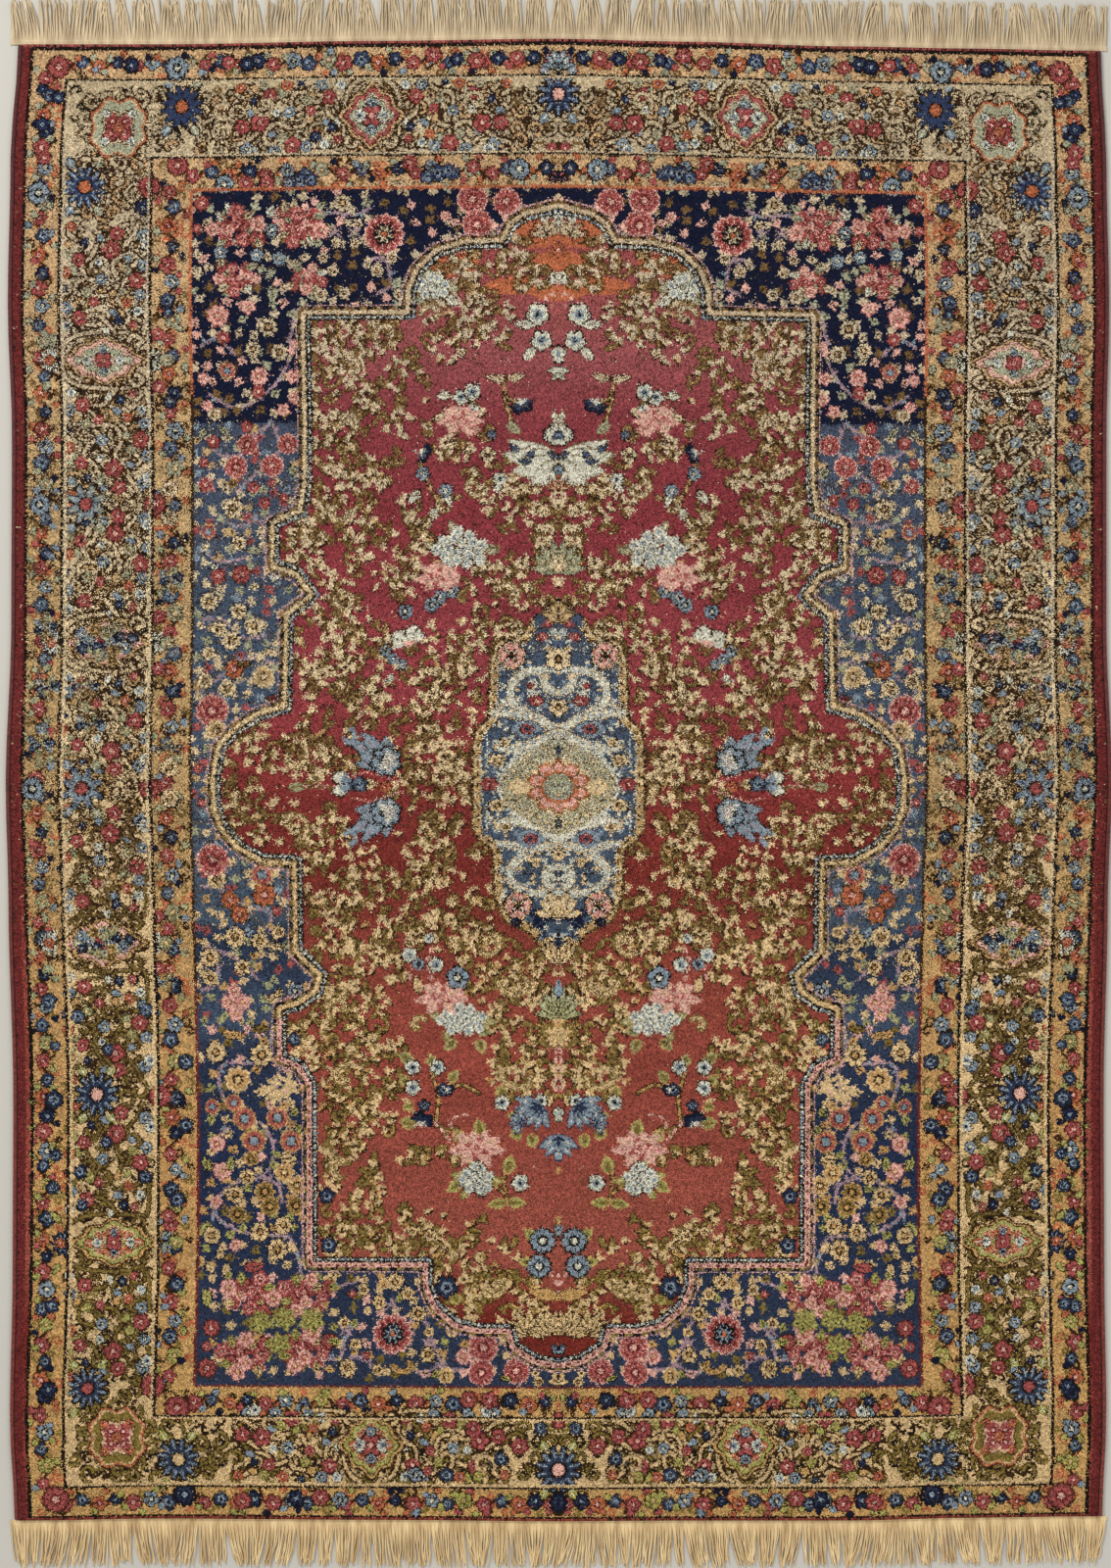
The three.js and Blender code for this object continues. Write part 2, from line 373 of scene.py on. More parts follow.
# %% Corner ground: lilac vines
GROUND_VINES = (
    ((322, 221), (340, 216), (362, 218), (378, 211)), ((372, 268), (392, 262), (398, 290), (384, 300)),
    ((300, 318), (297, 345), (292, 372), (270, 400), (240, 414), (212, 400)),
    ((205, 350), (222, 344), (240, 360)), ((204, 440), (222, 462), (244, 462), (262, 440), (276, 430)),
    ((276, 430), (284, 458), (262, 480), (240, 500)),
    ((215, 522), (240, 536), (262, 530), (270, 560), (268, 590)), ((204, 560), (226, 572), (250, 568)),
    ((205, 630), (228, 634), (246, 650), (270, 648)), ((206, 705), (224, 690), (250, 672), (280, 676)),
    ((205, 905), (228, 908), (252, 926), (276, 932), (275, 952)),
    ((206, 968), (226, 972), (248, 985), (262, 1000)), ((204, 1012), (218, 1006), (222, 985), (214, 975)),
    ((276, 1050), (274, 1066), (258, 1086), (228, 1086), (220, 1105), (228, 1128)),
    ((300, 1078), (284, 1092), (280, 1118)),
    ((262, 1146), (274, 1162), (276, 1186), (262, 1204), (240, 1208), (222, 1222), (214, 1244)),
    ((268, 1204), (282, 1212), (286, 1228)),
    ((214, 1240), (236, 1256), (262, 1262), (292, 1264), (302, 1286), (306, 1306)),
    ((232, 1152), (222, 1160), (218, 1178)), ((398, 1326), (404, 1340), (408, 1350)),
    ((332, 1388), (346, 1388), (352, 1368), (362, 1352)), ((352, 1390), (366, 1386), (378, 1396)),
    ((440, 1366), (446, 1384), (456, 1398), (474, 1400)), ((418, 1350), (430, 1346), (440, 1366)),
    ((454, 1392), (440, 1400), (424, 1402)), ((338, 1318), (352, 1312), (372, 1306)),
)
for vine in GROUND_VINES:
    line = smooth(vine)
    draw(line, 2.2, LILAC)
    for x, y in line[8::18]:
        leaf(x, y, 6, 3, between(0, 6.3), chance.choice((LILAC, SKY, IVORY)))


# %% Corner ground: sprigs
def scatter(kinds, pitch, box, allowed, size):
    """Leaf sprigs on a loose grid, only on knots that still hold one of the allowed colours."""
    for x, y, knot in loose_grid(box, pitch, 5):
        if x >= AXIS or level[knot] < GROUND or chart[knot] not in allowed:
            continue
        colour = chance.choice(kinds)
        angle = between(0, 6.3)
        for bend, share in ((0, 1), (0.9, 0.75), (-0.9, 0.75), (3.14, 0.5)):
            leaf(x, y, size * share * between(0.8, 1.15), size * 0.46, angle + bend, colour)
        if chance.random() < 0.5:
            leaf(x, y, size * 0.6, 1.2, angle, BROWN)


HEAD_GROUND, MIDDLE_GROUND = (198, 194, AXIS, NAVY_ENDS), (198, NAVY_ENDS, 330, 1050)
FOOT_GROUND = (198, 1050, AXIS, 1416)
scatter((IVORY, SAGE, PINK, IVORY, OLIVE), 16, HEAD_GROUND, (NAVY,), 8)
scatter((IVORY, SAGE, SKY, GOLD, IVORY, ROSE), 14, MIDDLE_GROUND, (BLUE,), 7.5)
scatter((SAGE, PINK, GOLD, IVORY, IVORY, OLIVE), 16, FOOT_GROUND, (BLUE,), 8)

# %% Corner ground: flowers, by kind
GROUND_FLOWERS = {
    "cream": (
        (349, 206, 10), (338, 233, 6), (365, 228, 6), (343, 246, 6), (362, 247, 6), (274, 332, 11),
        (258, 354, 9), (285, 358, 10), (217, 421, 8), (236, 517, 11), (242, 553, 9), (212, 613, 11),
        (242, 623, 10), (222, 641, 9), (258, 638, 11), (235, 653, 11), (209, 694, 9), (232, 702, 10),
        (212, 666, 8), (222, 898, 11), (240, 957, 12), (265, 961, 10), (284, 952, 8), (214, 978, 11),
        (247, 988, 9), (214, 999, 9), (218, 1075, 12), (265, 1078, 13), (250, 1203, 9), (238, 1221, 10),
        (287, 1252, 10), (263, 1259, 11), (281, 1277, 12), (214, 1263, 10), (402, 1310, 10),
        (415, 1322, 8), (386, 1331, 8), (426, 1342, 9), (461, 1359, 8), (437, 1361, 6), (573, 203, 8),
        (400, 262, 7), (385, 275, 8), (340, 275, 7), (328, 300, 8), (352, 298, 7), (330, 262, 6),
        (335, 1308, 8), (370, 1318, 7), (350, 1352, 7), (362, 1374, 7), (340, 1371, 6), (354, 1398, 10),
        (436, 1384, 9), (408, 300, 7), (372, 245, 6), (470, 215, 5), (550, 1411, 6), (385, 1400, 7),
    ),
    "madder": (
        (482, 203, 16), (517, 206, 14), (487, 229, 16), (493, 1376, 16), (491, 1402, 14), (527, 1400, 14),
        (251, 452, 11), (292, 452, 11), (239, 475, 12), (276, 474, 12), (217, 725, 17), (208, 493, 8),
        (218, 878, 17),
    ),
    "rose": (
        (205, 204, 9), (201, 230, 6), (228, 342, 8), (216, 449, 8), (206, 470, 6), (250, 434, 7),
        (257, 496, 7), (276, 492, 5), (268, 512, 7), (288, 507, 6), (221, 587, 9), (245, 585, 11),
        (262, 398, 8), (204, 784, 6), (208, 819, 6), (210, 1399, 11), (214, 1358, 10), (209, 1377, 6),
        (358, 1322, 5), (373, 1385, 5), (283, 930, 6), (233, 375, 9),
    ),
    "pink": (
        (264, 382, 10), (298, 383, 7), (223, 320, 12), (300, 405, 7), (288, 417, 7), (254, 311, 8),
        (219, 1169, 9), (224, 1197, 10), (218, 1228, 7), (238, 1273, 7), (206, 384, 6), (210, 412, 6),
        (473, 1386, 9), (454, 220, 6), (246, 1024, 9), (232, 1024, 9), (238, 1012, 8), (239, 1036, 8),
        (301, 350, 5),
    ),
    "dusty": (
        (247, 1143, 12), (281, 1142, 12), (257, 1166, 12), (295, 1166, 12), (236, 1127, 9),
        (214, 1131, 8), (268, 893, 12), (211, 541, 8), (231, 376, 9),
    ),
    "gold": (
        (240, 1103, 14), (268, 690, 12), (222, 745, 11), (288, 1198, 11), (301, 1211, 11), (455, 1405, 9),
        (390, 1312, 6), (288, 1130, 6), (200, 1290, 7),
    ),
    "coral": ((238, 682, 11), (270, 914, 13), (235, 919, 10), (245, 934, 10)),
    "brown": (
        (268, 1218, 11), (273, 1233, 11), (300, 1232, 10), (240, 1241, 10), (254, 1184, 8), (236, 492, 6),
    ),
}
for kind, places in GROUND_FLOWERS.items():
    for x, y, r in places:
        petals = 14 if kind in ("madder", "dusty") else 5 if r < 9 else 8
        bloom(kind, x, y, r, petals, between(0, 6), depth=0.14 if petals > 9 else 0.36)
print("corner ground:", sum(len(places) for places in GROUND_FLOWERS.values()), "flowers on each side")

# %% Corner ground: leaves and sprays
LONG_LEAVES = (
    (322, 214, 14, 7, -0.8, SAGE), (300, 214, 13, 7, -1.6, IVORY), (274, 220, 13, 7, -1.3, WHITE),
    (235, 216, 12, 7, -2.0, WHITE), (227, 296, 18, 8, 0.0, SAGE), (279, 290, 18, 10, 1.6, SAGE),
    (203, 268, 16, 7, 1.6, IVORY), (218, 226, 12, 6, 2.6, IVORY), (208, 436, 12, 6, 2.2, SAGE),
    (223, 434, 12, 6, 0.8, SAGE), (294, 474, 14, 7, 1.0, SAGE), (274, 590, 14, 7, -0.4, WHITE),
    (296, 1140, 10, 6, -0.9, SAGE), (300, 1156, 9, 6, -0.7, SAGE), (210, 1196, 14, 7, -1.9, SAGE),
    (231, 1196, 14, 7, -1.3, SAGE), (283, 1184, 18, 8, 0.0, IVORY), (247, 1296, 20, 9, -0.1, ROSE),
    (225, 1056, 24, 8, 0.1, GOLD), (255, 1052, 18, 7, -0.1, OLIVE), (209, 1318, 18, 9, 1.6, SAGE),
    (470, 228, 12, 7, 3.4, PINK), (446, 1400, 9, 5, 2.2, SAGE), (510, 1406, 12, 5, 0.3, SAGE),
    (255, 676, 14, 6, 3.0, OLIVE), (268, 664, 16, 7, 0.2, IVORY), (272, 712, 14, 5, 0.1, WINE),
    (274, 1024, 16, 9, -0.7, IVORY), (288, 1012, 10, 6, 2.6, IVORY), (210, 1290, 12, 7, 1.2, IVORY),
    (230, 1292, 12, 7, 1.9, IVORY), (222, 1288, 14, 7, -1.5, IVORY), (250, 560, 16, 7, 0.1, SAGE),
    (212, 574, 10, 5, 0.6, WHITE), (262, 1352, 12, 10, -1.6, SAGE), (288, 968, 14, 6, 3.3, IVORY),
)
for x, y, length, width, angle, colour in LONG_LEAVES:
    leaf(x, y, length, width, angle, colour, BLACK, BROWN)
PLUMES = (  # middle, radius, start, hand, colour
    (410, 197, 15, 3.46, 1, IVORY), (414, 1392, 14, 2.83, -1, GOLD),
)
for x, y, r, start, hand, colour in PLUMES:
    plume = spiral(x, y, r, start, 0.42, hand)
    draw(plume, 7, BROWN)
    draw(plume, 4.5, colour)
    draw(plume, 1, BROWN, 3)
IVORY_SPRAYS = ((278, 1106), (292, 1104), (270, 1114), (284, 1118), (296, 1112), (277, 1122))
LILAC_SPRAYS = ((342, 236), (362, 236), (352, 1360), (437, 1372), (406, 244), (398, 1334))
AXIS_SPRAYS = ((573, 210, 11), (573, 1411, 13))
for x, y in IVORY_SPRAYS:
    spread(x, y, 9, 4, between(0, 6), 6.28, IVORY, None, None, 0.5)
for x, y in LILAC_SPRAYS:
    spread(x, y, 8, 5, -1.57, 4.4, LILAC, None, None, 0.22)
for x, y, size in AXIS_SPRAYS:
    spread(x, y, size, 5, -1.57, 3.1, IVORY, BLACK, GOLD, 0.5)
print("leaves of the corner ground:", len(LONG_LEAVES))

# %% [markdown]
# ## Rosettes and corner bouquets
# The four corners hold heaps of peonies. A heap looks natural when no bloom sits on a ring or a grid, so
# they lie like the seeds of a sunflower, each turned on from the last and a little further out.

# %% Corner ground: rosettes and bouquets
ROSETTES = ((392, 238, IVORY), (400, 1363, SKY))
for x, y, heart in ROSETTES:
    bloom("madder", x, y, 21, 13, 0, depth=0.2)
    bloom("navy", x, y, 12, 8)
    star(x, y, 10, 8, heart, heart, CORAL)


BOUQUET_KINDS = ("peony", "rose", "pink", "madder")


def bouquet(x, y, r, greens):
    """Peonies heaped loosely, each over the one before, with leaves between them."""
    for i, angle, px, py in seeds(x, y, r, 0.72 * r, 11, x):
        bloom(BOUQUET_KINDS[i % 4], px, py, r * between(0.28, 0.38), 5, angle, depth=0.4)
        if i % 2:
            leaf(px, py, 11, 6, angle + 0.5, greens[i % len(greens)], OLIVE, BLACK)


HEAD_BOUQUETS = ((243, 230, 27), (303, 229, 26), (240, 281, 22), (314, 284, 18))
FOOT_BOUQUETS = ((256, 1324, 28), (311, 1322, 27), (248, 1384, 27), (311, 1378, 28))
for x, y, r in HEAD_BOUQUETS:
    bouquet(x, y, r, (IVORY, SAGE, WHITE))
for x, y, r in FOOT_BOUQUETS:
    bouquet(x, y, r, (SAGE, IVORY, SAGE))
LEAF_WHEELS = ((263, 1352), (289, 1348), (318, 1350), (284, 1374))
GREY_BLOOMS = ((277, 233), (262, 258), (285, 262), (225, 255))
for x, y in LEAF_WHEELS:
    spread(x, y, 12, 6, 0.3, 6.28, SAGE, OLIVE, BLACK, 0.6)
for x, y in GREY_BLOOMS:
    bloom("grey", x, y, 8, 5)
print("bouquets:", len(HEAD_BOUQUETS + FOOT_BOUQUETS), "on each side")


# %% [markdown]
# ## The field
# The madder-red field is one large lobed shape. Its outline needs only the points where it turns, since
# the weaver stepped it from knot to knot anyway. Under the top arch are patches from a coral bath.

# %% The field's outline
FIELD = [
    (570, 213), (537, 221), (523, 230), (514, 248), (474, 249), (447, 257), (428, 275), (420, 296),
    (419, 320), (312, 320), (312, 492), (307, 522), (279, 534), (279, 575), (303, 583), (320, 606),
    (314, 613), (293, 628), (293, 722), (265, 730), (242, 745), (227, 763), (222, 791), (222, 822),
    (230, 845), (245, 863), (270, 877), (304, 878), (304, 970), (319, 985), (329, 995), (324, 1013),
    (306, 1026), (286, 1032), (286, 1080), (304, 1087), (316, 1107), (317, 1290), (436, 1290),
    (436, 1313), (445, 1335), (465, 1352), (489, 1357), (521, 1357), (525, 1374), (547, 1388),
    (570, 1392),
]
field_line = dense(FIELD)
field = inside_of(closed(field_line))
chart[field] = RED
from_rim, along_rim = measured(field, field_line)

CORAL_PATCHES = (
    (455, 268, 34, 14), (545, 240, 26, 14), (530, 292, 36, 9), (572, 268, 30, 12), (573, 300, 30, 8),
)
for x, y, wide, high in CORAL_PATCHES:
    cells, across, down = near(x, y, wide)
    cells[(np.hypot(across / wide, down / high) < 1) & (cells == RED)] = CORAL

print("field:", int(field.sum()), "knots of each side")

# %% [markdown]
# ## Leafy scrolls
# Brown and olive scrolls with ivory leaves cover much of the field, thick along its rim and round the
# medallion, in clumps with red between them. To copy each leaf would be tracing. So soft ellipses say
# how much of each area is covered, and curls and leaves are thrown on with that chance.

# %% Field: how much of it the foliage covers
FOLIAGE = (  # middle, half size, share covered
    (545, 262, 95, 40, 0.85), (455, 292, 55, 36, 0.9), (500, 300, 50, 30, 0.5), (470, 340, 55, 22, 0.75),
    (360, 345, 62, 34, 1.0), (345, 400, 42, 60, 1.0), (400, 390, 40, 60, 0.6), (350, 470, 50, 50, 0.85),
    (330, 560, 55, 60, 0.9), (395, 560, 50, 50, 0.55), (335, 660, 52, 60, 0.9), (380, 700, 45, 50, 0.7),
    (262, 765, 40, 26, 0.85), (318, 770, 40, 35, 0.8), (245, 806, 22, 26, 0.6), (262, 842, 40, 24, 0.8),
    (318, 842, 42, 34, 0.85), (340, 900, 48, 50, 0.85), (380, 930, 50, 45, 0.6), (365, 990, 52, 50, 0.95),
    (345, 1060, 58, 55, 0.95), (350, 1150, 48, 60, 0.95), (345, 1230, 40, 60, 0.95),
    (400, 1262, 60, 26, 0.95), (390, 1110, 35, 45, 0.5), (470, 1290, 60, 34, 0.85),
    (510, 1325, 70, 26, 0.85), (470, 1262, 28, 22, 0.7), (505, 640, 36, 30, 0.9),
    (455, 700, 42, 62, 0.95), (450, 790, 42, 56, 1.0), (452, 880, 42, 50, 0.95), (470, 950, 46, 36, 0.95),
    (530, 1000, 62, 30, 0.95), (540, 1045, 44, 40, 0.85), (535, 1100, 48, 26, 0.7),
    (540, 508, 52, 26, 0.85), (555, 560, 36, 50, 0.95), (520, 600, 50, 30, 0.8), (425, 830, 25, 50, 0.5),
    (460, 440, 40, 30, 0.4), (500, 480, 24, 30, 0.5), (440, 1180, 36, 24, 0.4), (430, 1110, 30, 12, 0.3),
)
cover = np.zeros(chart.shape)
for x, y, wide, high, share in FOLIAGE:
    distance = np.hypot((columns - x) / wide, (rows - y) / high)
    cover = np.maximum(cover, share * np.clip(1.9 - 1.5 * distance, 0, 1))
cover[from_rim < 6] = 0
clumps = np.sin(columns / 10 + 2.4 * np.sin(rows / 27)) + np.sin(rows / 13 + 2.2 * np.sin(columns / 19))
cover *= np.where(clumps > -0.55, 1.1, 0.3)  # red ground shows between the clumps

# %% Field: leafy scrolls
FIELD_BOX = (224, 220, 572, 1388)
SCROLL_PITCH, LEAF_PITCH = 14, 9
for x, y, knot in loose_grid(FIELD_BOX, SCROLL_PITCH, 4):
    hand = chance.choice((-1, 1))
    if chance.random() > cover[knot]:
        continue
    line = spiral(x, y, between(6, 10), between(0, 6.3), 0.7, hand)
    draw(line, 5.5, BROWN)
    for place in line[[5, 35]]:
        leaf(*place, between(7, 11), 5, between(0, 6.3), OLIVE, BROWN)
    draw(line, 3.2, OLIVE)
    draw(line, 1.2, GOLD, 4)
for x, y, knot in loose_grid(FIELD_BOX, LEAF_PITCH, 3.5):
    if chance.random() > cover[knot] * 0.8 or chart[knot] not in (OLIVE, BROWN, RED, GOLD):
        continue
    angle = 1.2 * math.sin(x / 19) + 1.4 * math.cos(y / 23) + chance.choice((0, 1.6, 3.1, 4.7))
    length = between(7, 12)
    leaf(x + 1.5, y + 1.5, length, 4.6, angle, BROWN)
    leaf(x, y, length, 3.6, angle, IVORY if chance.random() < 0.85 else GOLD)
    for bend in (-1.1, 1.1):
        if chance.random() < 0.5:
            leaf(x, y, length * 0.6, 3.4, angle + bend, IVORY)

print("field covered by foliage:", round(float((cover > 0.5).sum() / field.sum()), 2))

# %% [markdown]
# ## Curls, stems and sprays
# Clear of the scrolls stand single curls and sprays: a stem, a few leaves, then the flowers, drawn in
# the order in which they overlap.

# %% Field: curling acanthus
CURLS = (  # middle, radius, start, turns, hand
    (442, 322, 13, 3.3, 0.55, 1), (395, 340, 12, 2.6, 0.7, 1), (352, 430, 13, 1.0, 0.7, -1),
    (358, 375, 12, 4.0, 0.7, 1), (484, 494, 14, 0.4, 0.6, 1), (455, 516, 12, 5.0, 0.6, -1),
    (342, 520, 13, 0.0, 0.7, 1), (352, 610, 12, 3.0, 0.7, -1), (300, 772, 17, 5.2, 0.75, 1),
    (300, 842, 17, 1.1, 0.75, -1), (346, 1030, 14, 2.4, 0.7, 1), (350, 1100, 13, 5.0, 0.7, -1),
    (346, 1190, 13, 1.5, 0.7, 1), (530, 1000, 22, 3.0, 0.5, -1), (500, 960, 16, 2.2, 0.6, -1),
    (535, 1096, 26, 3.4, 0.45, -1), (420, 1278, 12, 0.2, 0.6, 1), (505, 1312, 14, 2.5, 0.6, -1),
    (520, 610, 16, 3.6, 0.6, 1), (426, 1047, 9, 5.6, 0.6, -1),
)
for x, y, r, start, turns, hand in CURLS:
    line = spiral(x, y, r, start, turns, hand)
    draw(line, 6.5, OLIVE)
    draw(line, 3, IVORY)
    draw(line, 1, BROWN, 4)

# %% Field: stems of the sprays
STEMS = {
    GOLD: (
        ((514, 386), (515, 405), (520, 424), (526, 438)), ((530, 412), (520, 408), (515, 400)),
        ((440, 1095), (446, 1120), (444, 1150)), ((446, 1118), (458, 1112), (472, 1108), (488, 1116)),
        ((516, 1185), (514, 1206), (517, 1226)), ((478, 1196), (498, 1206), (514, 1218)),
        ((440, 502), (452, 512), (470, 506)), ((427, 470), (434, 486), (440, 502)),
    ),
    PINK: (
        ((574, 1064), (572, 1090), (574, 1128)), ((568, 1070), (567, 1095), (568, 1116)),
        ((565, 300), (556, 304), (562, 312)), ((572, 300), (571, 318), (572, 345)),
        ((304, 803), (322, 803), (345, 802)), ((574, 1290), (568, 1310), (573, 1330)),
        ((552, 1283), (562, 1300), (570, 1316)), ((458, 1150), (464, 1141), (478, 1138)),
        ((432, 1130), (446, 1150), (462, 1168)), ((574, 490), (566, 496), (562, 508)),
        ((418, 1000), (422, 985), (426, 978)), ((440, 968), (436, 985), (440, 1000)),
    ),
    OLIVE: (((574, 1240), (574, 1262)), ((574, 1308), (573, 1350)), ((340, 803), (300, 803))),
}
for colour, stems in STEMS.items():
    for stem in stems:
        if colour == GOLD:
            strap(smooth(stem), 2.8, OLIVE)
        draw(smooth(stem), 2, colour, 8)

# %% Field: leaves of the sprays
SPRAY_LEAVES = (
    (546, 331, 20, 9, 3.1, WHITE), (546, 356, 16, 9, 2.4, WHITE), (456, 303, 14, 9, 0.6, WHITE),
    (516, 388, 20, 7, 3.3, IVORY), (518, 387, 18, 7, -0.2, IVORY), (518, 432, 16, 8, 0.7, SAGE),
    (460, 403, 15, 8, 3.1, WHITE), (455, 424, 14, 7, 2.9, IVORY), (466, 452, 16, 6, 2.8, IVORY),
    (427, 501, 16, 8, 2.3, WHITE), (424, 522, 16, 8, 2.4, IVORY), (444, 518, 14, 8, 1.9, WHITE),
    (455, 505, 12, 6, 1.2, WHITE), (512, 490, 14, 8, 2.1, WHITE), (434, 540, 12, 6, -1.2, IVORY),
    (492, 560, 18, 7, 0.0, SAGE), (428, 590, 12, 6, 3.4, IVORY), (402, 690, 10, 6, 2.6, WHITE),
    (418, 1084, 13, 8, -2.5, SAGE), (440, 1088, 11, 7, -1.7, SAGE), (458, 1104, 13, 7, -0.9, SAGE),
    (416, 1106, 11, 7, -2.6, SAGE), (420, 1130, 10, 6, 3.1, SAGE), (422, 1148, 15, 9, 3.3, SAGE),
    (512, 1120, 12, 8, -1.7, SAGE), (532, 1156, 12, 9, 2.8, SAGE), (544, 1158, 13, 8, 1.7, SAGE),
    (530, 1140, 12, 6, 3.2, SAGE), (470, 1166, 14, 9, -2.0, SAGE), (490, 1158, 15, 9, -1.8, SAGE),
    (518, 1198, 18, 9, -1.4, SAGE), (470, 1208, 16, 8, 2.6, SAGE), (516, 1228, 18, 7, 3.0, SAGE),
    (518, 1228, 18, 7, 0.0, SAGE), (485, 1050, 16, 10, 0.2, SAGE), (488, 1062, 14, 8, 1.2, SAGE),
    (464, 1062, 14, 7, 2.4, SAGE), (428, 1012, 16, 8, -1.9, IVORY), (574, 1252, 14, 8, -1.57, SAGE),
    (546, 1264, 13, 8, -2.5, SAGE), (543, 1290, 13, 7, 3.3, SAGE), (571, 1324, 32, 12, 3.3, GOLD),
    (462, 1324, 10, 7, 0.9, SAGE), (574, 1190, 12, 6, 1.57, SAGE), (466, 976, 12, 6, 1.0, IVORY),
    (386, 800, 26, 10, 3.14, IVORY), (312, 803, 16, 9, 3.14, SAGE), (574, 1066, 16, 7, -2.3, IVORY),
)
GREEN_FROM = 1040  # below this row the sage wool is a leaf green, and edged with gold
for x, y, length, width, angle, colour in SPRAY_LEAVES:
    if colour == SAGE and y > GREEN_FROM:
        leaf(x, y, length, width + 2.5, angle, SAGE, GOLD)
        leaf(x, y, length * 0.8, width * 0.6, angle, OLIVE)
    else:
        leaf(x, y, length, width, angle, colour, OLIVE if colour == SAGE else BROWN, OLIVE)

# %% Field: flowers of the sprays
SPRAY_FLOWERS = {
    "white": (
        (549, 321, 13), (553, 348, 12), (572, 362, 11), (470, 405, 9), (482, 400, 10), (481, 420, 9),
        (510, 489, 8), (418, 975, 9), (445, 985, 9), (420, 1090, 9), (446, 1090, 9), (420, 1111, 9),
        (552, 1124, 8), (573, 1137, 10), (512, 1126, 9), (487, 1193, 8), (475, 1206, 9), (491, 1214, 9),
        (531, 1208, 10), (572, 483, 8), (438, 958, 6),
    ),
    "grey": (
        (431, 483, 8), (454, 500, 8), (460, 603, 9), (448, 610, 8), (413, 624, 9), (440, 617, 9),
        (554, 1267, 15), (573, 1256, 9), (550, 1293, 14), (427, 984, 7), (300, 1012, 9), (401, 672, 7),
        (393, 664, 7), (410, 678, 6),
    ),
    "blue": (
        (502, 444, 6), (299, 1062, 8), (332, 1222, 9), (334, 1272, 10), (455, 1315, 13), (432, 1129, 7),
        (452, 1113, 8), (507, 1174, 5), (478, 1052, 5),
    ),
    "cream": ((498, 464, 9), (418, 962, 6), (470, 360, 6), (438, 1262, 7), (420, 1258, 6)),
    "coral": ((549, 240, 10), (452, 262, 7), (471, 258, 7), (570, 256, 8)),
    "pink": (
        (466, 425, 13), (479, 436, 10), (453, 584, 14), (440, 590, 11), (460, 590, 10), (448, 1018, 14),
        (462, 1016, 12),
    ),
}
for kind, places in SPRAY_FLOWERS.items():
    for x, y, r in places:
        bloom(kind, x, y, r, 12 if r > 11 and kind == "grey" else 5, between(0, 6), depth=0.34)
print("sprays:", len(SPRAY_LEAVES), "leaves and", sum(map(len, SPRAY_FLOWERS.values())), "flowers")

# %% Field: flower heads and half-open flowers
FLOWER_HEADS = ((442, 292, 15, 11, 6), (470, 560, 26, 19, 7), (472, 1041, 23, 15, 6), (486, 1204, 15, 14, 6))
for x, y, spread_x, spread_y, r in FLOWER_HEADS:
    for angle in (0.1, 2.2, 3.3, 4.4):
        leaf(x + spread_x * math.cos(angle), y + spread_y * math.sin(angle), 11, 7, angle, SAGE, OLIVE, IVORY)
    for _, angle, px, py in seeds(x, y, spread_x, spread_y, 18):
        bloom("cluster", px, py, r, 5, angle, depth=0.3)
NAVY_FANS = ((531, 408, 15, 1.3), (427, 460, 13, 0.4), (428, 1150, 15, -1.2), (455, 1112, 8, 0.5))
BLUE_FANS = ((550, 1128, 25, 2.3), (573, 1160, 26, 1.57), (534, 1146, 14, 3.3))
WHITE_FANS = ((418, 660, 22, -1.9), (573, 292, 16, -1.57))
for x, y, r, angle in NAVY_FANS:
    fan(x, y, r, angle, 2.6, NAVY, BLUE, WHITE)
    draw(smooth(((x - r * 0.5, y - 1), (x + r * 0.5, y - 1))), 1.6, WHITE)
for x, y, r, angle in BLUE_FANS:
    spread(x, y, r, 6, angle, 2.2, SKY, BLUE, WHITE, 0.36)
    spread(x, y, r * 0.45, 4, angle, 2.2, BLUE, None, None, 0.3)
for x, y, r, angle in WHITE_FANS:
    fan(x, y, r, angle, 2.6, WHITE, WHITE, PINK, BROWN)

# %% Field: the pink bouquets
PINK_BOUQUETS = ((450, 1018, 28), (486, 1172, 30), (446, 588, 24), (470, 428, 24))
PETALS = ((0.1, 1), (0.9, 0.8), (2.3, 0.8), (3.0, 1), (3.7, 0.9), (4.4, 0.6), (5.3, 0.7), (5.9, 0.9))
for x, y, wide in PINK_BOUQUETS:
    for angle, reach in PETALS:
        leaf(x, y, wide * reach, wide * 0.4, angle, PINK, None, IVORY if reach < 1 else ROSE)
    for angle in (0.5, 1.8, 3.4, 5.0):
        leaf(x, y, wide * 0.45, wide * 0.2, angle, ROSE)
    bloom("pink", x, y, wide * 0.25, 5)
BESIDE_THEM = ((bloom, "grey", 467, 998, 13, 5), (leaf, 428, 1014, 18, 9, -1.8, IVORY, BROWN, GOLD))
put(BESIDE_THEM)

# %% [markdown]
# ## Palmettes on the long axis
# A palmette is a flower cut lengthwise and opened like a fan. These sit on the long axis, so half of each
# is drawn and the mirror gives the rest.

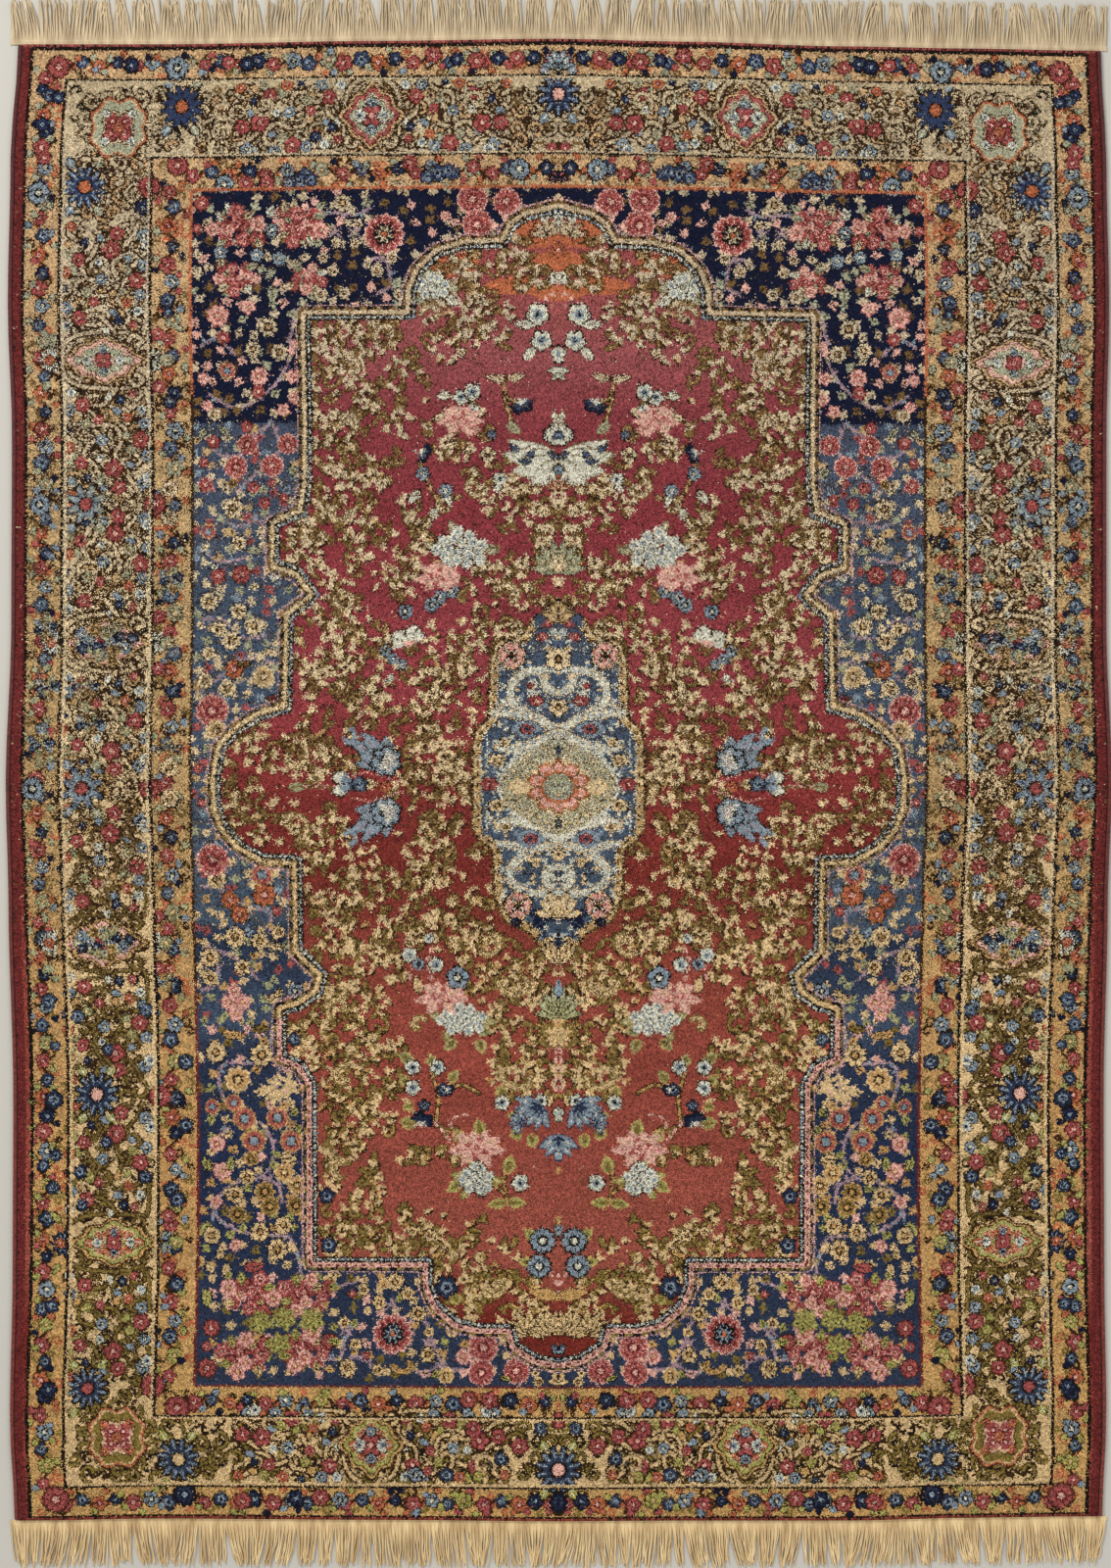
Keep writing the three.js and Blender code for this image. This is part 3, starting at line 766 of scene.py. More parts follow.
# %% Field: the white palmette
WINGS_X, WINGS_Y = 576, 474
WHITE_WINGS = (  # length, width, angle
    (62, 17, 3.55), (64, 22, 3.3), (54, 24, 3.0), (40, 22, 2.62), (26, 14, 2.2),
)
WING_MARKS = ((545, 462, 2.6), (541, 472, 3.3), (560, 463, 0.4), (529, 461, 3.8))
for length, width, angle in WHITE_WINGS:
    leaf(WINGS_X, WINGS_Y, length, width, angle, WHITE, OLIVE)
for x, y, angle in WING_MARKS:
    leaf(x, y, 11, 5, angle, BLUE, BLACK)
    leaf(x - 4, y + 6, 9, 3, angle + 0.5, SAGE)
WHITE_PALMETTE = (
    (bloom, "white", 573, 444, 20, 9, 0, 0.66, 0.2), (leaf, 573, 441, 11, 6, 1.57 - 0.9, BLUE, BLACK, SKY),
    (leaf, 573, 441, 11, 6, 1.57 + 0.9, BLUE, BLACK, SKY),
    (spread, 573, 438, 20, 3, -1.57, 0.9, WHITE, OLIVE, SAGE, 0.36), (bloom, "grey", 573, 481, 9, 5),
)
put(WHITE_PALMETTE)

# %% Field: the other palmettes
PALMETTES = (
    (spread, 573, 500, 16, 6, -1.57, 2.8, CORAL, BROWN, IVORY, 0.2),
    (spread, 574, 582, 32, 9, -1.57, 3.0, SAGE, BROWN, IVORY, 0.34),
    (spread, 574, 582, 18, 5, -1.57, 2.2, IVORY, OLIVE, SAGE, 0.4),
    (leaf, 573, 374, 16, 11, 1.57, SAGE, BROWN, IVORY),
    (spread, 573, 378, 14, 5, 1.57, 3.0, WHITE, BROWN, SAGE, 0.4),
    (spread, 574, 1034, 28, 9, -1.57, 3.2, SAGE, BROWN, WHITE, 0.36),
    (leaf, 573, 1020, 22, 14, -1.57, SKY, BLACK, NAVY),
    (spread, 574, 1052, 20, 7, 1.57, 3.0, IVORY, OLIVE, GOLD, 0.3),
)
put(PALMETTES)

# %% Field: the curling grey flowers
GREY_PETALS = ((26, 1.5), (32, -0.1), (46, 0.5), (40, 0.85), (28, 0.2))  # length, turn
SHORT_AXIS, GREY_X = 803, 395  # the row of the rug's middle, and the column of these flowers
FACING_FAN = (
    (fan, 366, 800, 26, 3.14, 1.5, WHITE, SKY, BLUE, BROWN), (bloom, "blue", 368, 800, 9, 5),
    (bloom, "coral", 394, SHORT_AXIS, 6, 5),
)
for hand in (-1, 1):
    y = SHORT_AXIS + hand * 26
    for length, turn in GREY_PETALS:
        leaf(GREY_X + 1, y, length, 14, math.pi - hand * turn, SKY, BLACK, LILAC)
    draw(spiral(GREY_X - 39, SHORT_AXIS + hand * 50, 9, hand * 1.2, 0.6, -hand), 5, SKY)
    bloom("grey", GREY_X, y, 17, 7, 0.3 * hand)
    spread(GREY_X, y, 12, 5, -0.4 * hand, 3.6, WHITE, None, LILAC, 0.4)
    stem = ((GREY_X - 35, y - hand * 14), (GREY_X - 15, y - hand * 12), (GREY_X + 17, y - hand * 22))
    draw(smooth(stem), 1.6, PINK)
put(FACING_FAN)

# %% Field: under the two arches
UNDER_ARCHES = (
    (spread, 540, 1362, 26, 7, -1.57, 3.1, IVORY, BROWN, OLIVE, 0.3),
    (spread, 565, 1362, 24, 6, -1.7, 2.4, IVORY, BROWN, OLIVE, 0.3),
    (fan, 573, 1372, 12, 1.57, 3.0, SKY, NAVY, CORAL),
    (spread, 560, 240, 18, 5, -1.8, 2.6, IVORY, BROWN, GOLD, 0.3),
    (bloom, "white", 556, 222, 6, 5), (bloom, "white", 566, 219, 6, 5), (bloom, "white", 573, 228, 6, 5),
)
put(UNDER_ARCHES)
print("field drawn")


# %% [markdown]
# ## The medallion
# The long blue medallion is a rug within the rug: a beaded rim, pale strapwork like ironwork, and a
# pointed oval of grey flecks. Noise would look like dirt there. A sum of row and column modulo eleven
# gives an even fleck that steps from knot to knot, as a weaver counts it.

# %% The medallion's outline
MEDALLION = [
    (572, 612), (545, 632), (533, 651), (507, 656), (501, 676), (500, 733), (488, 745), (484, 760),
    (484, 845), (491, 857), (504, 866), (506, 914), (516, 939), (543, 952), (558, 975), (572, 985),
]
medallion_line = dense(MEDALLION)
medallion = inside_of(closed(medallion_line))
chart[medallion] = BLUE
from_edge, along_edge = measured(medallion, medallion_line)
EDGE_STRIPES = (  # from and to, colour, length and colour of the beads
    (-3, 0, BLACK, 4, OLIVE), (0, 7, GOLD, 12, IVORY), (3, 5.5, GOLD, 11, BROWN), (7, 8.5, WHITE, 3, BROWN),
)
for band_stripe in EDGE_STRIPES:
    stripe(from_edge, along_edge, *band_stripe)
inner = medallion & (from_edge > 9)
MEDALLION_BOX = (496, 630, AXIS + 2, 980)
for x, y, knot in loose_grid(MEDALLION_BOX, 7.5, 2):
    if inner[knot] and chance.random() < 0.8:
        pale = chance.choice((WHITE, SKY, WHITE, IVORY))
        leaf(x, y, between(5, 8), 3.4, between(0, 6.3), pale)

# %% Medallion: ivory strapwork
STRAPS = (
    ((577, 684), (556, 683), (534, 688), (521, 701), (523, 717), (539, 728), (558, 738), (577, 749)),
    ((503, 727), (520, 728), (541, 731)), ((577, 744), (558, 752), (541, 759), (522, 764), (507, 762)),
    ((577, 860), (560, 863), (540, 870), (524, 882), (521, 897), (534, 909), (556, 912), (577, 908)),
    ((577, 862), (558, 851), (540, 842), (522, 838), (507, 841)), ((509, 861), (524, 863), (544, 866)),
    ((577, 706), (566, 706), (556, 700), (556, 690)), ((577, 884), (562, 886), (556, 895), (562, 906)),
)
STRAP_CURLS = ((545, 700, 8), (562, 897, 7), (530, 772, 8), (528, 832, 8))
for points in STRAPS:
    strap(smooth(points), 7.5, IVORY, BLUE)
    draw(smooth(points), 6, WHITE, 9)
    draw(smooth(points), 1, SKY, 2)
for x, y, r in STRAP_CURLS:
    draw(spiral(x, y, r, 1.0, 0.9, 1), 3, WHITE)

# %% Medallion: the pointed oval
OVAL_X, OVAL_Y, OVAL_WIDE, OVAL_HIGH = 572, SHORT_AXIS, 61, 49
cells, across, down = near(OVAL_X, OVAL_Y, OVAL_WIDE + 5)
oval = (np.abs(across) / OVAL_WIDE) ** 1.5 + (np.abs(down) / OVAL_HIGH) ** 1.5
flecks = ((across + OVAL_X) * 7 + (down + OVAL_Y) * 5).astype(int) % 11
for share, colour in ((1.1, WHITE), (1.0, SAGE), (0.5, IVORY)):
    cells[oval < share] = colour
ring = (oval < 1.04) & (oval > 0.46)
RING_FLECKS = ((0, BROWN), (2, WHITE), (3, IVORY), (5, OLIVE), (7, IVORY), (8, SKY), (10, IVORY))
for fleck, colour in RING_FLECKS:
    cells[ring & (flecks == fleck)] = colour
for inwards in (26, 36):
    leaf(OVAL_X - inwards, OVAL_Y, 17, 15, math.pi, IVORY, GOLD)
bloom("dahlia", OVAL_X, OVAL_Y, 35, 10, 0.314, 0.82, 0.34)
heart = np.hypot(across, down * 1.2) < 17.5
for fleck, colour in ((range(11), SAGE), ((1, 6), SKY), ((3, 8), OLIVE), ((5,), WHITE)):
    cells[heart & np.isin(flecks, fleck)] = colour
for hand in (-1, 1):
    leaf(OVAL_X, OVAL_Y + hand * 43, 14, 8, -hand * 1.57, BLUE, BLACK, SKY)

# %% Medallion: flowers
MEDALLION_FLOWERS = {
    "cream": (
        (572, 673, 17), (572, 722, 14), (543, 714, 5), (508, 776, 10), (508, 822, 10), (574, 872, 12),
        (547, 879, 6), (515, 758, 7), (516, 844, 7), (573, 648, 8), (560, 662, 5), (560, 960, 6),
        (574, 970, 6),
    ),
    "rose": ((547, 715, 9), (500, 800, 10), (559, 636, 7), (553, 650, 7), (541, 700, 4)),
    "navy": ((574, 957, 8), (565, 976, 7), (552, 957, 5), (540, 889, 6)),
    "white": (
        (566, 646, 6), (526, 745, 5), (531, 862, 5), (497, 770, 4), (497, 832, 4), (574, 896, 7),
        (513, 700, 5), (512, 888, 5),
    ),
}
for kind, places in MEDALLION_FLOWERS.items():
    for x, y, r in places:
        bloom(kind, x, y, r, 6, between(0, 6), 0.75)
CROSS_FLOWERS, EYES = ((522, 669), (529, 924)), ((538, 744), (542, 856))
BLUE_LEAVES = (
    (545, 676, 17, -1.2), (556, 628, 16, 2.4), (540, 930, 18, 0.3), (556, 940, 14, 2.6),
    (522, 938, 12, 0.6),
)
for x, y in CROSS_FLOWERS:
    bloom("cream", x, y, 16, 8, depth=0.2)
    bloom("pink", x, y, 13, 8, depth=0.3)
    star(x, y, 9, 4, IVORY, WHITE, BLACK)
for x, y in EYES:
    leaf(x - 15, y, 30, 17, 0, SKY, BLUE)
    bloom("rose", x, y, 8, 6, squash=0.8)
    bloom("navy", x, y, 3.5, 4)
for x, y, length, angle in BLUE_LEAVES:
    leaf(x, y, length, 10, angle, NAVY if y > SHORT_AXIS else BLUE, None, BLUE)
MEDALLION_FANS = (
    (spread, 573, 936, 27, 7, -1.57, 2.8, IVORY, BROWN, WHITE, 0.42),
    (spread, 573, 634, 20, 5, -1.57, 2.4, GOLD, BROWN, IVORY, 0.34),
    (spread, 573, 985, 26, 5, -1.57, 1.8, IVORY, BLACK, GOLD, 0.3),
)
put(MEDALLION_FANS)
NAVY_LINE = ((545, 940), (560, 938), (574, 939))
draw(smooth(NAVY_LINE), 2.6, NAVY)
SIDE_BARS, BAR_X = ((753, 787), (818, 852)), 494
for high, low in SIDE_BARS:
    draw(dense(((BAR_X, high), (BAR_X, low))), 3, BLUE)
    draw(dense(((BAR_X + 3, high), (BAR_X + 3, low))), 1.5, WHITE)
print("medallion:", int(medallion.sum()), "knots of each side")

# %% [markdown]
# ## Beads along the field
# Rows of beads run beside the field's outline, over everything that the scrolls threw across it. They use
# the distance and the way along it that were measured before. Lower down the ivory stripe turns pink,
# with a red dash.

# %% Stripes along the field's outline
lower = rows > GREEN_FROM
OUTER_STRIPES = (
    (-10.5, -9, LILAC, 5, PINK), (-8, -5.5, BLACK, 15, OLIVE), (-5.5, 0, GOLD, 9, OLIVE), (-4.5, -1, IVORY),
)
INNER_STRIPES = ((0, 2, BLACK), (2, 4.5, WHITE, 5, SKY))
for rim_stripe in OUTER_STRIPES:
    stripe(from_rim, along_rim, *rim_stripe)
on_rim = (from_rim >= -5.5) & (from_rim < 0)
chart[on_rim & lower] = PINK
chart[on_rim & lower & (np.abs(from_rim + 2.8) < 1) & (along_rim % 9 < 4)] = WINE
for rim_stripe in INNER_STRIPES:
    stripe(from_rim, along_rim, *rim_stripe)
chart[(from_rim >= 2) & (from_rim < 4.5) & (along_rim % 7 < 1.5)] = BLACK
stripe(from_rim, along_rim, 4.5, 6, BLACK, 6, BROWN)
print("field outline:", round(float(along_rim.max())), "knots long")


# %% [markdown]
# ## Borders: tendrils under everything
# Small curls fill whatever the border's flowers leave. They are thrown at random wherever the level lies
# inside a band, and laid first, which is quicker than fitting them into the gaps and looks the same.

# %% Borders: tendrils
DENSE_FROM, OLIVE_FROM = 250, 900  # the curls are densest between these rows, and olive below


def tendrils(low, high, pitch, radius, share, colours, width):
    """Small curls wherever the borders' level lies between low and high."""
    for x, y, knot in loose_grid((LEFT + 4, TOP + 4, AXIS, BOTTOM), pitch, 4):
        sparse = 1 if DENSE_FROM < y < OLIVE_FROM else 0.8
        if not low < level[knot] < high or chance.random() > share * sparse:
            continue
        size, turns = radius * between(0.7, 1.2), between(0.6, 1.0)
        curl = spiral(x, y, size, between(0, 6.3), turns, chance.choice((-1, 1)), 60)
        if width > 3:
            draw(curl, width + (1 if y > OLIVE_FROM else 2.4), BROWN)
            draw(curl, width - 1.4, OLIVE if y > OLIVE_FROM else chance.choice((IVORY, GOLD)))
        else:
            draw(curl, width, chance.choice(colours))


TENDRILS = (  # levels from and to, pitch, radius, share, colours, width
    (4.1, 4.95, 9, 6, 0.6, (BROWN, BROWN, OLIVE, BLACK), 2.4), (4.1, 4.95, 17, 10, 0.9, (), 3.6),
    (2.1, 2.95, 10, 5, 0.5, (BROWN, OLIVE, CORAL), 2), (6.1, 6.95, 10, 5, 0.5, (BROWN, OLIVE, CORAL), 2),
)
for layer in TENDRILS:
    tendrils(*layer)

# %% [markdown]
# ## Borders: the two guards
# A guard is the narrow stripe beside the broad border: one waving vine with a flower in each bend. One
# function draws it between any two points, and six calls go round half the rug, twice.

# %% Borders: vines of the two guards
GUARD_KINDS = ("rose", "blue", "coral", "navy", "rose", "grey", "blue", "sage")
GUARD_FLOWER = 8.5  # their radius


def garland(a, b, sway, pitch):
    """Flowers on both sides of a waving coral vine, with leaves between them."""
    a, b = np.array(a, float), np.array(b, float)
    length = np.hypot(*(b - a))
    forward = (b - a) / length
    aside = np.array((-forward[1], forward[0]))
    count = int(length / pitch)
    points = [a + forward * pitch * k + aside * sway * (-1) ** k for k in range(count + 1)]
    draw(smooth([p + forward * 2 + aside for p in points]), 2, CORAL)
    draw(smooth(points), 2, BROWN)
    for k, (x, y) in enumerate(points):
        side = aside * (-1) ** k
        bx, by = np.array((x, y)) - side * sway * 0.7 + forward * between(-2, 2)
        kind, size = GUARD_KINDS[k % len(GUARD_KINDS)], GUARD_FLOWER * between(0.85, 1.2)
        bloom(kind, bx, by, size, 5, between(0, 6), depth=0.34)
        for hand in (-1, 1):
            if chance.random() < 0.25:
                continue
            lx, ly = np.array((x, y)) + side * sway * 0.5 + forward * hand * pitch * 0.4
            colour = chance.choice((SKY, SAGE, SAGE, ROSE, NAVY, CORAL, SAGE))
            edge = BLACK if hand > 0 else BROWN
            leaf(lx, ly, between(6, 9), 6, between(0, 6.3), colour, edge)


GUARD_LINES = (  # from, to, sway, pitch
    ((42, 76), (42, 1520), 7, 18), ((174, 190), (174, 1418), 8, 19), ((60, 61), (572, 61), 6, 18),
    ((60, 1535), (572, 1535), 6, 18), ((196, 174), (572, 174), 7, 19), ((196, 1433), (572, 1433), 6, 19),
)
for a, b, sway, pitch in GUARD_LINES:
    garland(a, b, sway, pitch)
print("guards:", len(GUARD_LINES), "stretches")

# %% [markdown]
# ## The broad border
# One unit repeats: scrolling straps, flowers and leaves, from a cartouche halfway to the next. It is
# written once, in distances along and across the band, and a small function turns those into places on
# the chart, so the same unit runs up the sides, down them and along both ends.

# %% Borders: the unit of the broad band
UNIT_STRAPS = (  # along the band from the cartouche's middle, then across it
    ((12, -44), (22, -36), (28, -18), (29, 8), (27, 38)),
    ((29, 10), (37, 4), (45, -4), (46, -16), (38, -18), (36, -10)),
    ((28, 40), (40, 42), (58, 42), (70, 44)), ((60, -36), (68, -28), (66, -4), (70, 10), (82, 14)),
    ((70, -30), (80, -28), (84, -16), (78, -8), (72, -14)),
    ((84, 14), (96, 8), (104, 12), (110, 26), (102, 34), (95, 26)),
    ((88, -20), (98, -24), (106, -14), (118, -8)), ((118, 20), (130, 30), (142, 34)),
    ((116, -4), (128, 6), (140, 22)), ((14, 30), (20, 38), (26, 30), (20, 24)),
    ((124, -30), (132, -38), (140, -30), (134, -24)),
)
UNIT_FLOWERS = {
    "rose": ((44, -24, 9), (80, 33, 10), (104, -26, 8), (113, 8, 11), (62, -8, 6), (131, 12, 9), (36, 28, 5)),
    "coral": ((90, -40, 7), (58, 22, 6), (138, -36, 6)),
    "navy": ((40, 14, 6), (122, -20, 5), (74, -42, 5)),
    "grey": ((66, 36, 7), (98, 40, 7), (84, -4, 7), (52, -38, 7), (126, 38, 8)),
    "sage": ((92, 24, 6), (68, -20, 6), (110, -38, 6)),
    "white": ((50, 34, 6), (120, 42, 7), (34, -38, 6), (100, -6, 5)),
}
UNIT_LEAVES = (
    (50, 6, 10, 0.4, SKY), (74, 22, 9, 2.2, SAGE), (96, -34, 10, 1.0, SAGE), (34, 2, 8, 1.5, WHITE),
    (58, -28, 9, 2.6, GOLD), (106, 20, 9, 0.2, SKY), (88, 6, 8, 4.0, IVORY),
    (128, -8, 10, 0.6, SKY), (64, 8, 9, 5.0, GOLD), (118, -34, 9, 3.4, GOLD),
)


# %% Borders: the broad band's repeats
def repeat(place, reach, flip, filling):
    """The unit's straps, leaves and flowers up to reach; place turns their distances into knots."""
    for points in UNIT_STRAPS:
        if points[-1][0] < reach:
            line = smooth([place(u, v * flip) for u, v in points])
            draw(line, 4.8 if filling == OLIVE else 7.4, BROWN)
            draw(line, 2.6 if filling == OLIVE else 3.2, filling)
    for u, v, size, turn, colour in UNIT_LEAVES:
        if u < reach:
            leaf(*place(u, v * flip), size, 6, turn, colour, BROWN, None)
    for kind, places in UNIT_FLOWERS.items():
        for u, v, r in places:
            if u < reach:
                x, y = place(u + between(-2, 2), v * flip + between(-2, 2))
                bloom(kind, x, y, r, 5, between(0, 6), depth=0.34)


SIDE_CARTOUCHES = ((105, 365), (105, 655), (105, 963), (113, 1270))
END_CARTOUCHES = ((378, 117), (378, 1477))
SIDE_MIDDLE, END_SQUEEZE = 107, 0.84  # the side band's middle column, and how much narrower the ends are
SIDE_REACH, END_REACH = 146, 172
for cx, cy in SIDE_CARTOUCHES:
    for hand in (-1, 1):
        filling = OLIVE if cy > SHORT_AXIS else IVORY
        repeat(lambda u, v: (SIDE_MIDDLE + v, cy + hand * u), SIDE_REACH, 1, filling)
for cx, cy in END_CARTOUCHES:
    flip = 1 if cy < SHORT_AXIS else -1
    for hand in (-1, 1):
        end_place = lambda u, v: (cx + hand * u, cy + v * END_SQUEEZE)
        repeat(end_place, END_REACH, flip, IVORY)
END_CURLS = ((225, 108, 1, 0.5), (268, 105, -1, 3.0), (485, 103, 1, 2.6), (493, 1497, -1, 0.2))
for x, y, hand, start in END_CURLS:
    strap(spiral(x, y, 12, start, 0.9, hand), 3, IVORY)
print("broad border:", 2 * len(SIDE_CARTOUCHES + END_CARTOUCHES), "repeats")

# %% [markdown]
# ## Stars, buds and cartouches
# Between the repeats stand the pieces that the eye finds first: large blue stars, single blossoms, and
# the cartouches, which are rings of a pointed oval.

# %% Borders: star flowers and buds
STARS = (
    (182, 105, 22, 12, BLUE, BLUE, CORAL), (85, 187, 22, 12, BLUE, SKY, CORAL),
    (570, 97, 22, 10, BLUE, SKY, PINK), (85, 513, 22, 8, SKY, SAGE, ROSE),
    (86, 805, 23, 8, SKY, BLUE, ROSE), (95, 1118, 23, 12, BLUE, SKY, PINK),
    (88, 1419, 21, 12, BLUE, SKY, ROSE), (180, 1493, 22, 12, BLUE, SKY, IVORY),
    (570, 1501, 24, 12, BLUE, SKY, PINK),
)
for x, y, r, petals, petal, tip, heart in STARS:
    star(x, y, r, petals, petal, tip, heart)
    for hand in (-1, 1):
        leaf(x + 12, y + hand * 20, 11, 8, hand * 1.0, SAGE, BLACK, WHITE)
        leaf(x - 12, y + hand * 20, 11, 8, hand * 2.1, SAGE if y > OLIVE_FROM else SKY, BLACK, WHITE)
BORDER_FLOWERS = {
    "rose": (
        (52, 64, 13), (180, 165, 12), (151, 187, 13), (160, 1120, 13), (156, 513, 13), (155, 805, 12),
        (155, 1417, 14), (180, 1440, 14), (52, 1532, 15), (575, 1451, 13), (563, 152, 7), (580, 152, 7),
        (478, 1430, 10), (500, 1430, 10), (418, 165, 9), (483, 170, 8), (503, 177, 8), (250, 184, 9),
        (272, 184, 9), (44, 157, 8), (245, 1535, 10), (325, 1531, 10), (440, 55, 10), (485, 62, 10),
        (527, 60, 9), (228, 60, 8), (436, 1503, 6), (483, 1460, 10), (530, 1477, 10),
    ),
    "navy": (
        (128, 62, 9), (247, 62, 9), (37, 87, 7), (54, 95, 8), (40, 123, 9), (185, 1529, 13),
        (573, 1534, 13), (465, 60, 8), (507, 60, 8), (321, 138, 7), (521, 1430, 9), (145, 208, 10),
        (172, 315, 8), (172, 408, 8), (300, 1532, 10), (48, 1420, 10),
    ),
    "blue": (
        (48, 1022, 9), (53, 1068, 6), (51, 1123, 11), (53, 1180, 7), (147, 1032, 8), (77, 1038, 8),
        (107, 1072, 7), (105, 1167, 7), (78, 1197, 8), (145, 1203, 8), (80, 1231, 7), (446, 176, 10),
        (436, 180, 8), (457, 174, 9), (305, 183, 9), (294, 185, 8), (317, 182, 8), (187, 1085, 9),
        (187, 1150, 9), (178, 1226, 10), (178, 1313, 9), (50, 1213, 8), (50, 1334, 8), (552, 1459, 8),
        (455, 1507, 9), (511, 1490, 8),
    ),
    "grey": (
        (175, 65, 13), (38, 193, 13), (530, 173, 12), (228, 185, 11), (38, 513, 12), (36, 805, 13),
        (345, 1533, 9), (423, 1507, 9),
    ),
    "cream": ((171, 497, 9), (171, 527, 9), (175, 783, 10), (175, 815, 10)),
}
for kind, places in BORDER_FLOWERS.items():
    for x, y, r in places:
        bloom(kind, x, y, r, 10 if r > 11 else 6, between(0, 6), depth=0.2 if r > 11 else 0.3)
END_FANS = (
    (spread, 572, 68, 18, 7, -1.57, 3.0, SKY, BLACK, WHITE, 0.34),
    (spread, 572, 184, 13, 5, -1.57, 3.0, NAVY, BLACK, ROSE, 0.4),
)
put(END_FANS)
print("border:", len(STARS), "stars and", sum(map(len, BORDER_FLOWERS.values())), "single flowers")


# %% Borders: cartouches
def cartouche(x, y, wide, high, edge, body, heart):
    """A pointed oval of several rings, with a flower in the middle and leaves towards its points."""
    cells, across, down = near(x, y, wide * 1.4)
    wave = 1 + 0.1 * np.cos(8 * np.arctan2(down / high, across / wide))
    shape = ((np.abs(across) / wide) ** 1.25 + (np.abs(down) / high) ** 1.5) / wave
    rings = ((1.45, BROWN), (1.3, GOLD), (1.14, BROWN), (1.06, edge), (0.82, IVORY), (0.74, BROWN))
    for share, colour in rings + ((0.7, body), (0.3, edge)):
        cells[shape < share] = colour
    cells[(shape < 0.7) & ((across * 5 + down * 3).astype(int) % 7 == 0)] = WHITE
    bloom(heart, x, y, high * 0.5, 4, 0.78, depth=0.45)
    for side in (-1, 1):
        bloom("white", x + side * wide * 0.5, y, high * 0.3, 4)
        bloom("grey", x, y + side * high * 0.52, high * 0.22, 4)
        outwards = 0 if side > 0 else math.pi
        leaf(x + side * wide * 0.62, y, wide * 0.3, high * 0.4, outwards, body, BROWN, WHITE)


def border_fans(x, y, low):
    """The half-open flowers that stand beside a cartouche, towards both edges of the band."""
    spread(x - 52, y, 13, 7, math.pi, 3.6, BLUE if low else WHITE, BLACK, SKY, 0.4)
    bloom("coral", x - 55, y, 6, 5)
    spread(x + 52, y, 12, 7, 0, 3.2, SKY if low else WHITE, BLACK, SAGE, 0.4)
    bloom("sage", x + 64, y, 8, 6)
    for hand in (-1, 1):
        bloom("rose", x + 56, y + hand * 27, 8, 5)
        leaf(x - 56, y + hand * 22, 11, 6, hand * 2.2, SAGE, BLACK)


for x, y in SIDE_CARTOUCHES:
    low = (x, y) == SIDE_CARTOUCHES[-1]
    border_fans(x, y, low)
    cartouche(x, y, 34, 20, SAGE if low else PINK, CORAL if low else SAGE, "rose")
for x, y in END_CARTOUCHES:
    edge, body = (ROSE, SAGE) if y < SHORT_AXIS else (SAGE, CORAL)
    cartouche(x, y, 25, 27, edge, body, "rose")

# %% Borders: the corner palmettes
CORNER_PALMETTES = ((118, 126, SAGE, "rose"), (118, 1470, OLIVE, "madder"))
for x, y, middle, petal in CORNER_PALMETTES:
    for k in range(10):
        turn = k * 2 * math.pi / 10 + 0.3
        curl = spiral(x + 33 * math.cos(turn), y + 31 * math.sin(turn), 8, turn, 0.8, (-1) ** k)
        strap(curl, 3, IVORY if y < SHORT_AXIS else OLIVE)
    rings = ((1.0, BROWN), (0.95, CORAL), (0.88, IVORY), (0.82, middle), (0.56, BROWN), (0.52, IVORY))
    for share, colour in rings:
        cells, across, down = near(x, y, 40)
        corner = (np.abs(across / 29) ** 3 + np.abs(down / 31) ** 3) ** (1 / 3)
        scallop = 1 - 0.07 * np.cos(8 * np.arctan2(down, across))
        cells[corner < share * scallop] = colour
    for turn in (0.78, 2.36, 3.93, 5.5):
        bloom(petal, x + 9 * math.cos(turn), y + 9 * math.sin(turn), 9, 5, turn)
        bud = "white" if y < SHORT_AXIS else "coral"
        bloom(bud, x + 19 * math.cos(turn), y + 20 * math.sin(turn), 5, 4)
    bloom("coral", x, y, 6, 4)

# %% [markdown]
# ## Wear
# The sides of the real rug are rubbed along their middle, where dark knots show through the ivory in
# clumps and short streaks. So the dust is multiplied with a coarse noise whose cells are three times as
# wide as high, and a few dark clusters of blossoms are added.

# %% Dark clusters
DARK_CLUSTERS = (  # middle, half size
    (105, 655, 30, 20), (105, 963, 28, 17), (168, 763, 18, 6), (172, 590, 10, 12), (44, 760, 12, 12),
    (48, 700, 12, 10), (44, 640, 10, 12), (168, 1003, 12, 8), (92, 738, 12, 10), (85, 700, 14, 7),
)
for x, y, wide, high in DARK_CLUSTERS:
    for i, angle, px, py in seeds(x, y, wide, high, 14):
        bloom(("grey", "navy", "sage", "brown")[i % 4], px, py, high * 0.3 + 1, 5, angle)

# %% Dark wool that shows through
grain = np.random.default_rng(5)
dust = grain.random(chart.shape)
coarse = grain.random((chart.shape[0] // 5 + 1, chart.shape[1] // 15 + 1)) ** 2 * 2
patchy = np.repeat(np.repeat(coarse, 5, 0), 15, 1)[:chart.shape[0], :chart.shape[1]]
wear = np.interp(rows, (150, 200, 430, 520, 900, 1010, 1552), (0.3, 0.9, 0.8, 1, 1, 0.1, 0.06)) * patchy
wear = wear * np.where((level > 1) & (level < 7.3), 0.5, np.where(chart == BLUE, 0.6, 0.2))
for first, share, colour in ((0.0, 0.1, BLACK), (0.2, 0.09, BROWN), (0.4, 0.08, OLIVE), (0.6, 0.03, IVORY)):
    chart[(dust > first) & (dust < first + share * wear)] = colour

print("wear: darkened", int((dust < 0.1 * wear).sum()), "knots to black")

# %% Borders: the thin lines, drawn last
for number in (1, 3, 5):
    chart[(level >= number) & (level < number + 1)] = BLACK
chart[(level >= 4) & (level < 4.03)] = IVORY
chart[(level >= 4.97) & (level < 5)] = IVORY
for first_row, colour in ((TOP, CORAL), (400, BROWN), (1000, WINE)):
    chart[(level >= 7) & (level < GROUND) & (rows > first_row)] = colour
print("borders drawn")

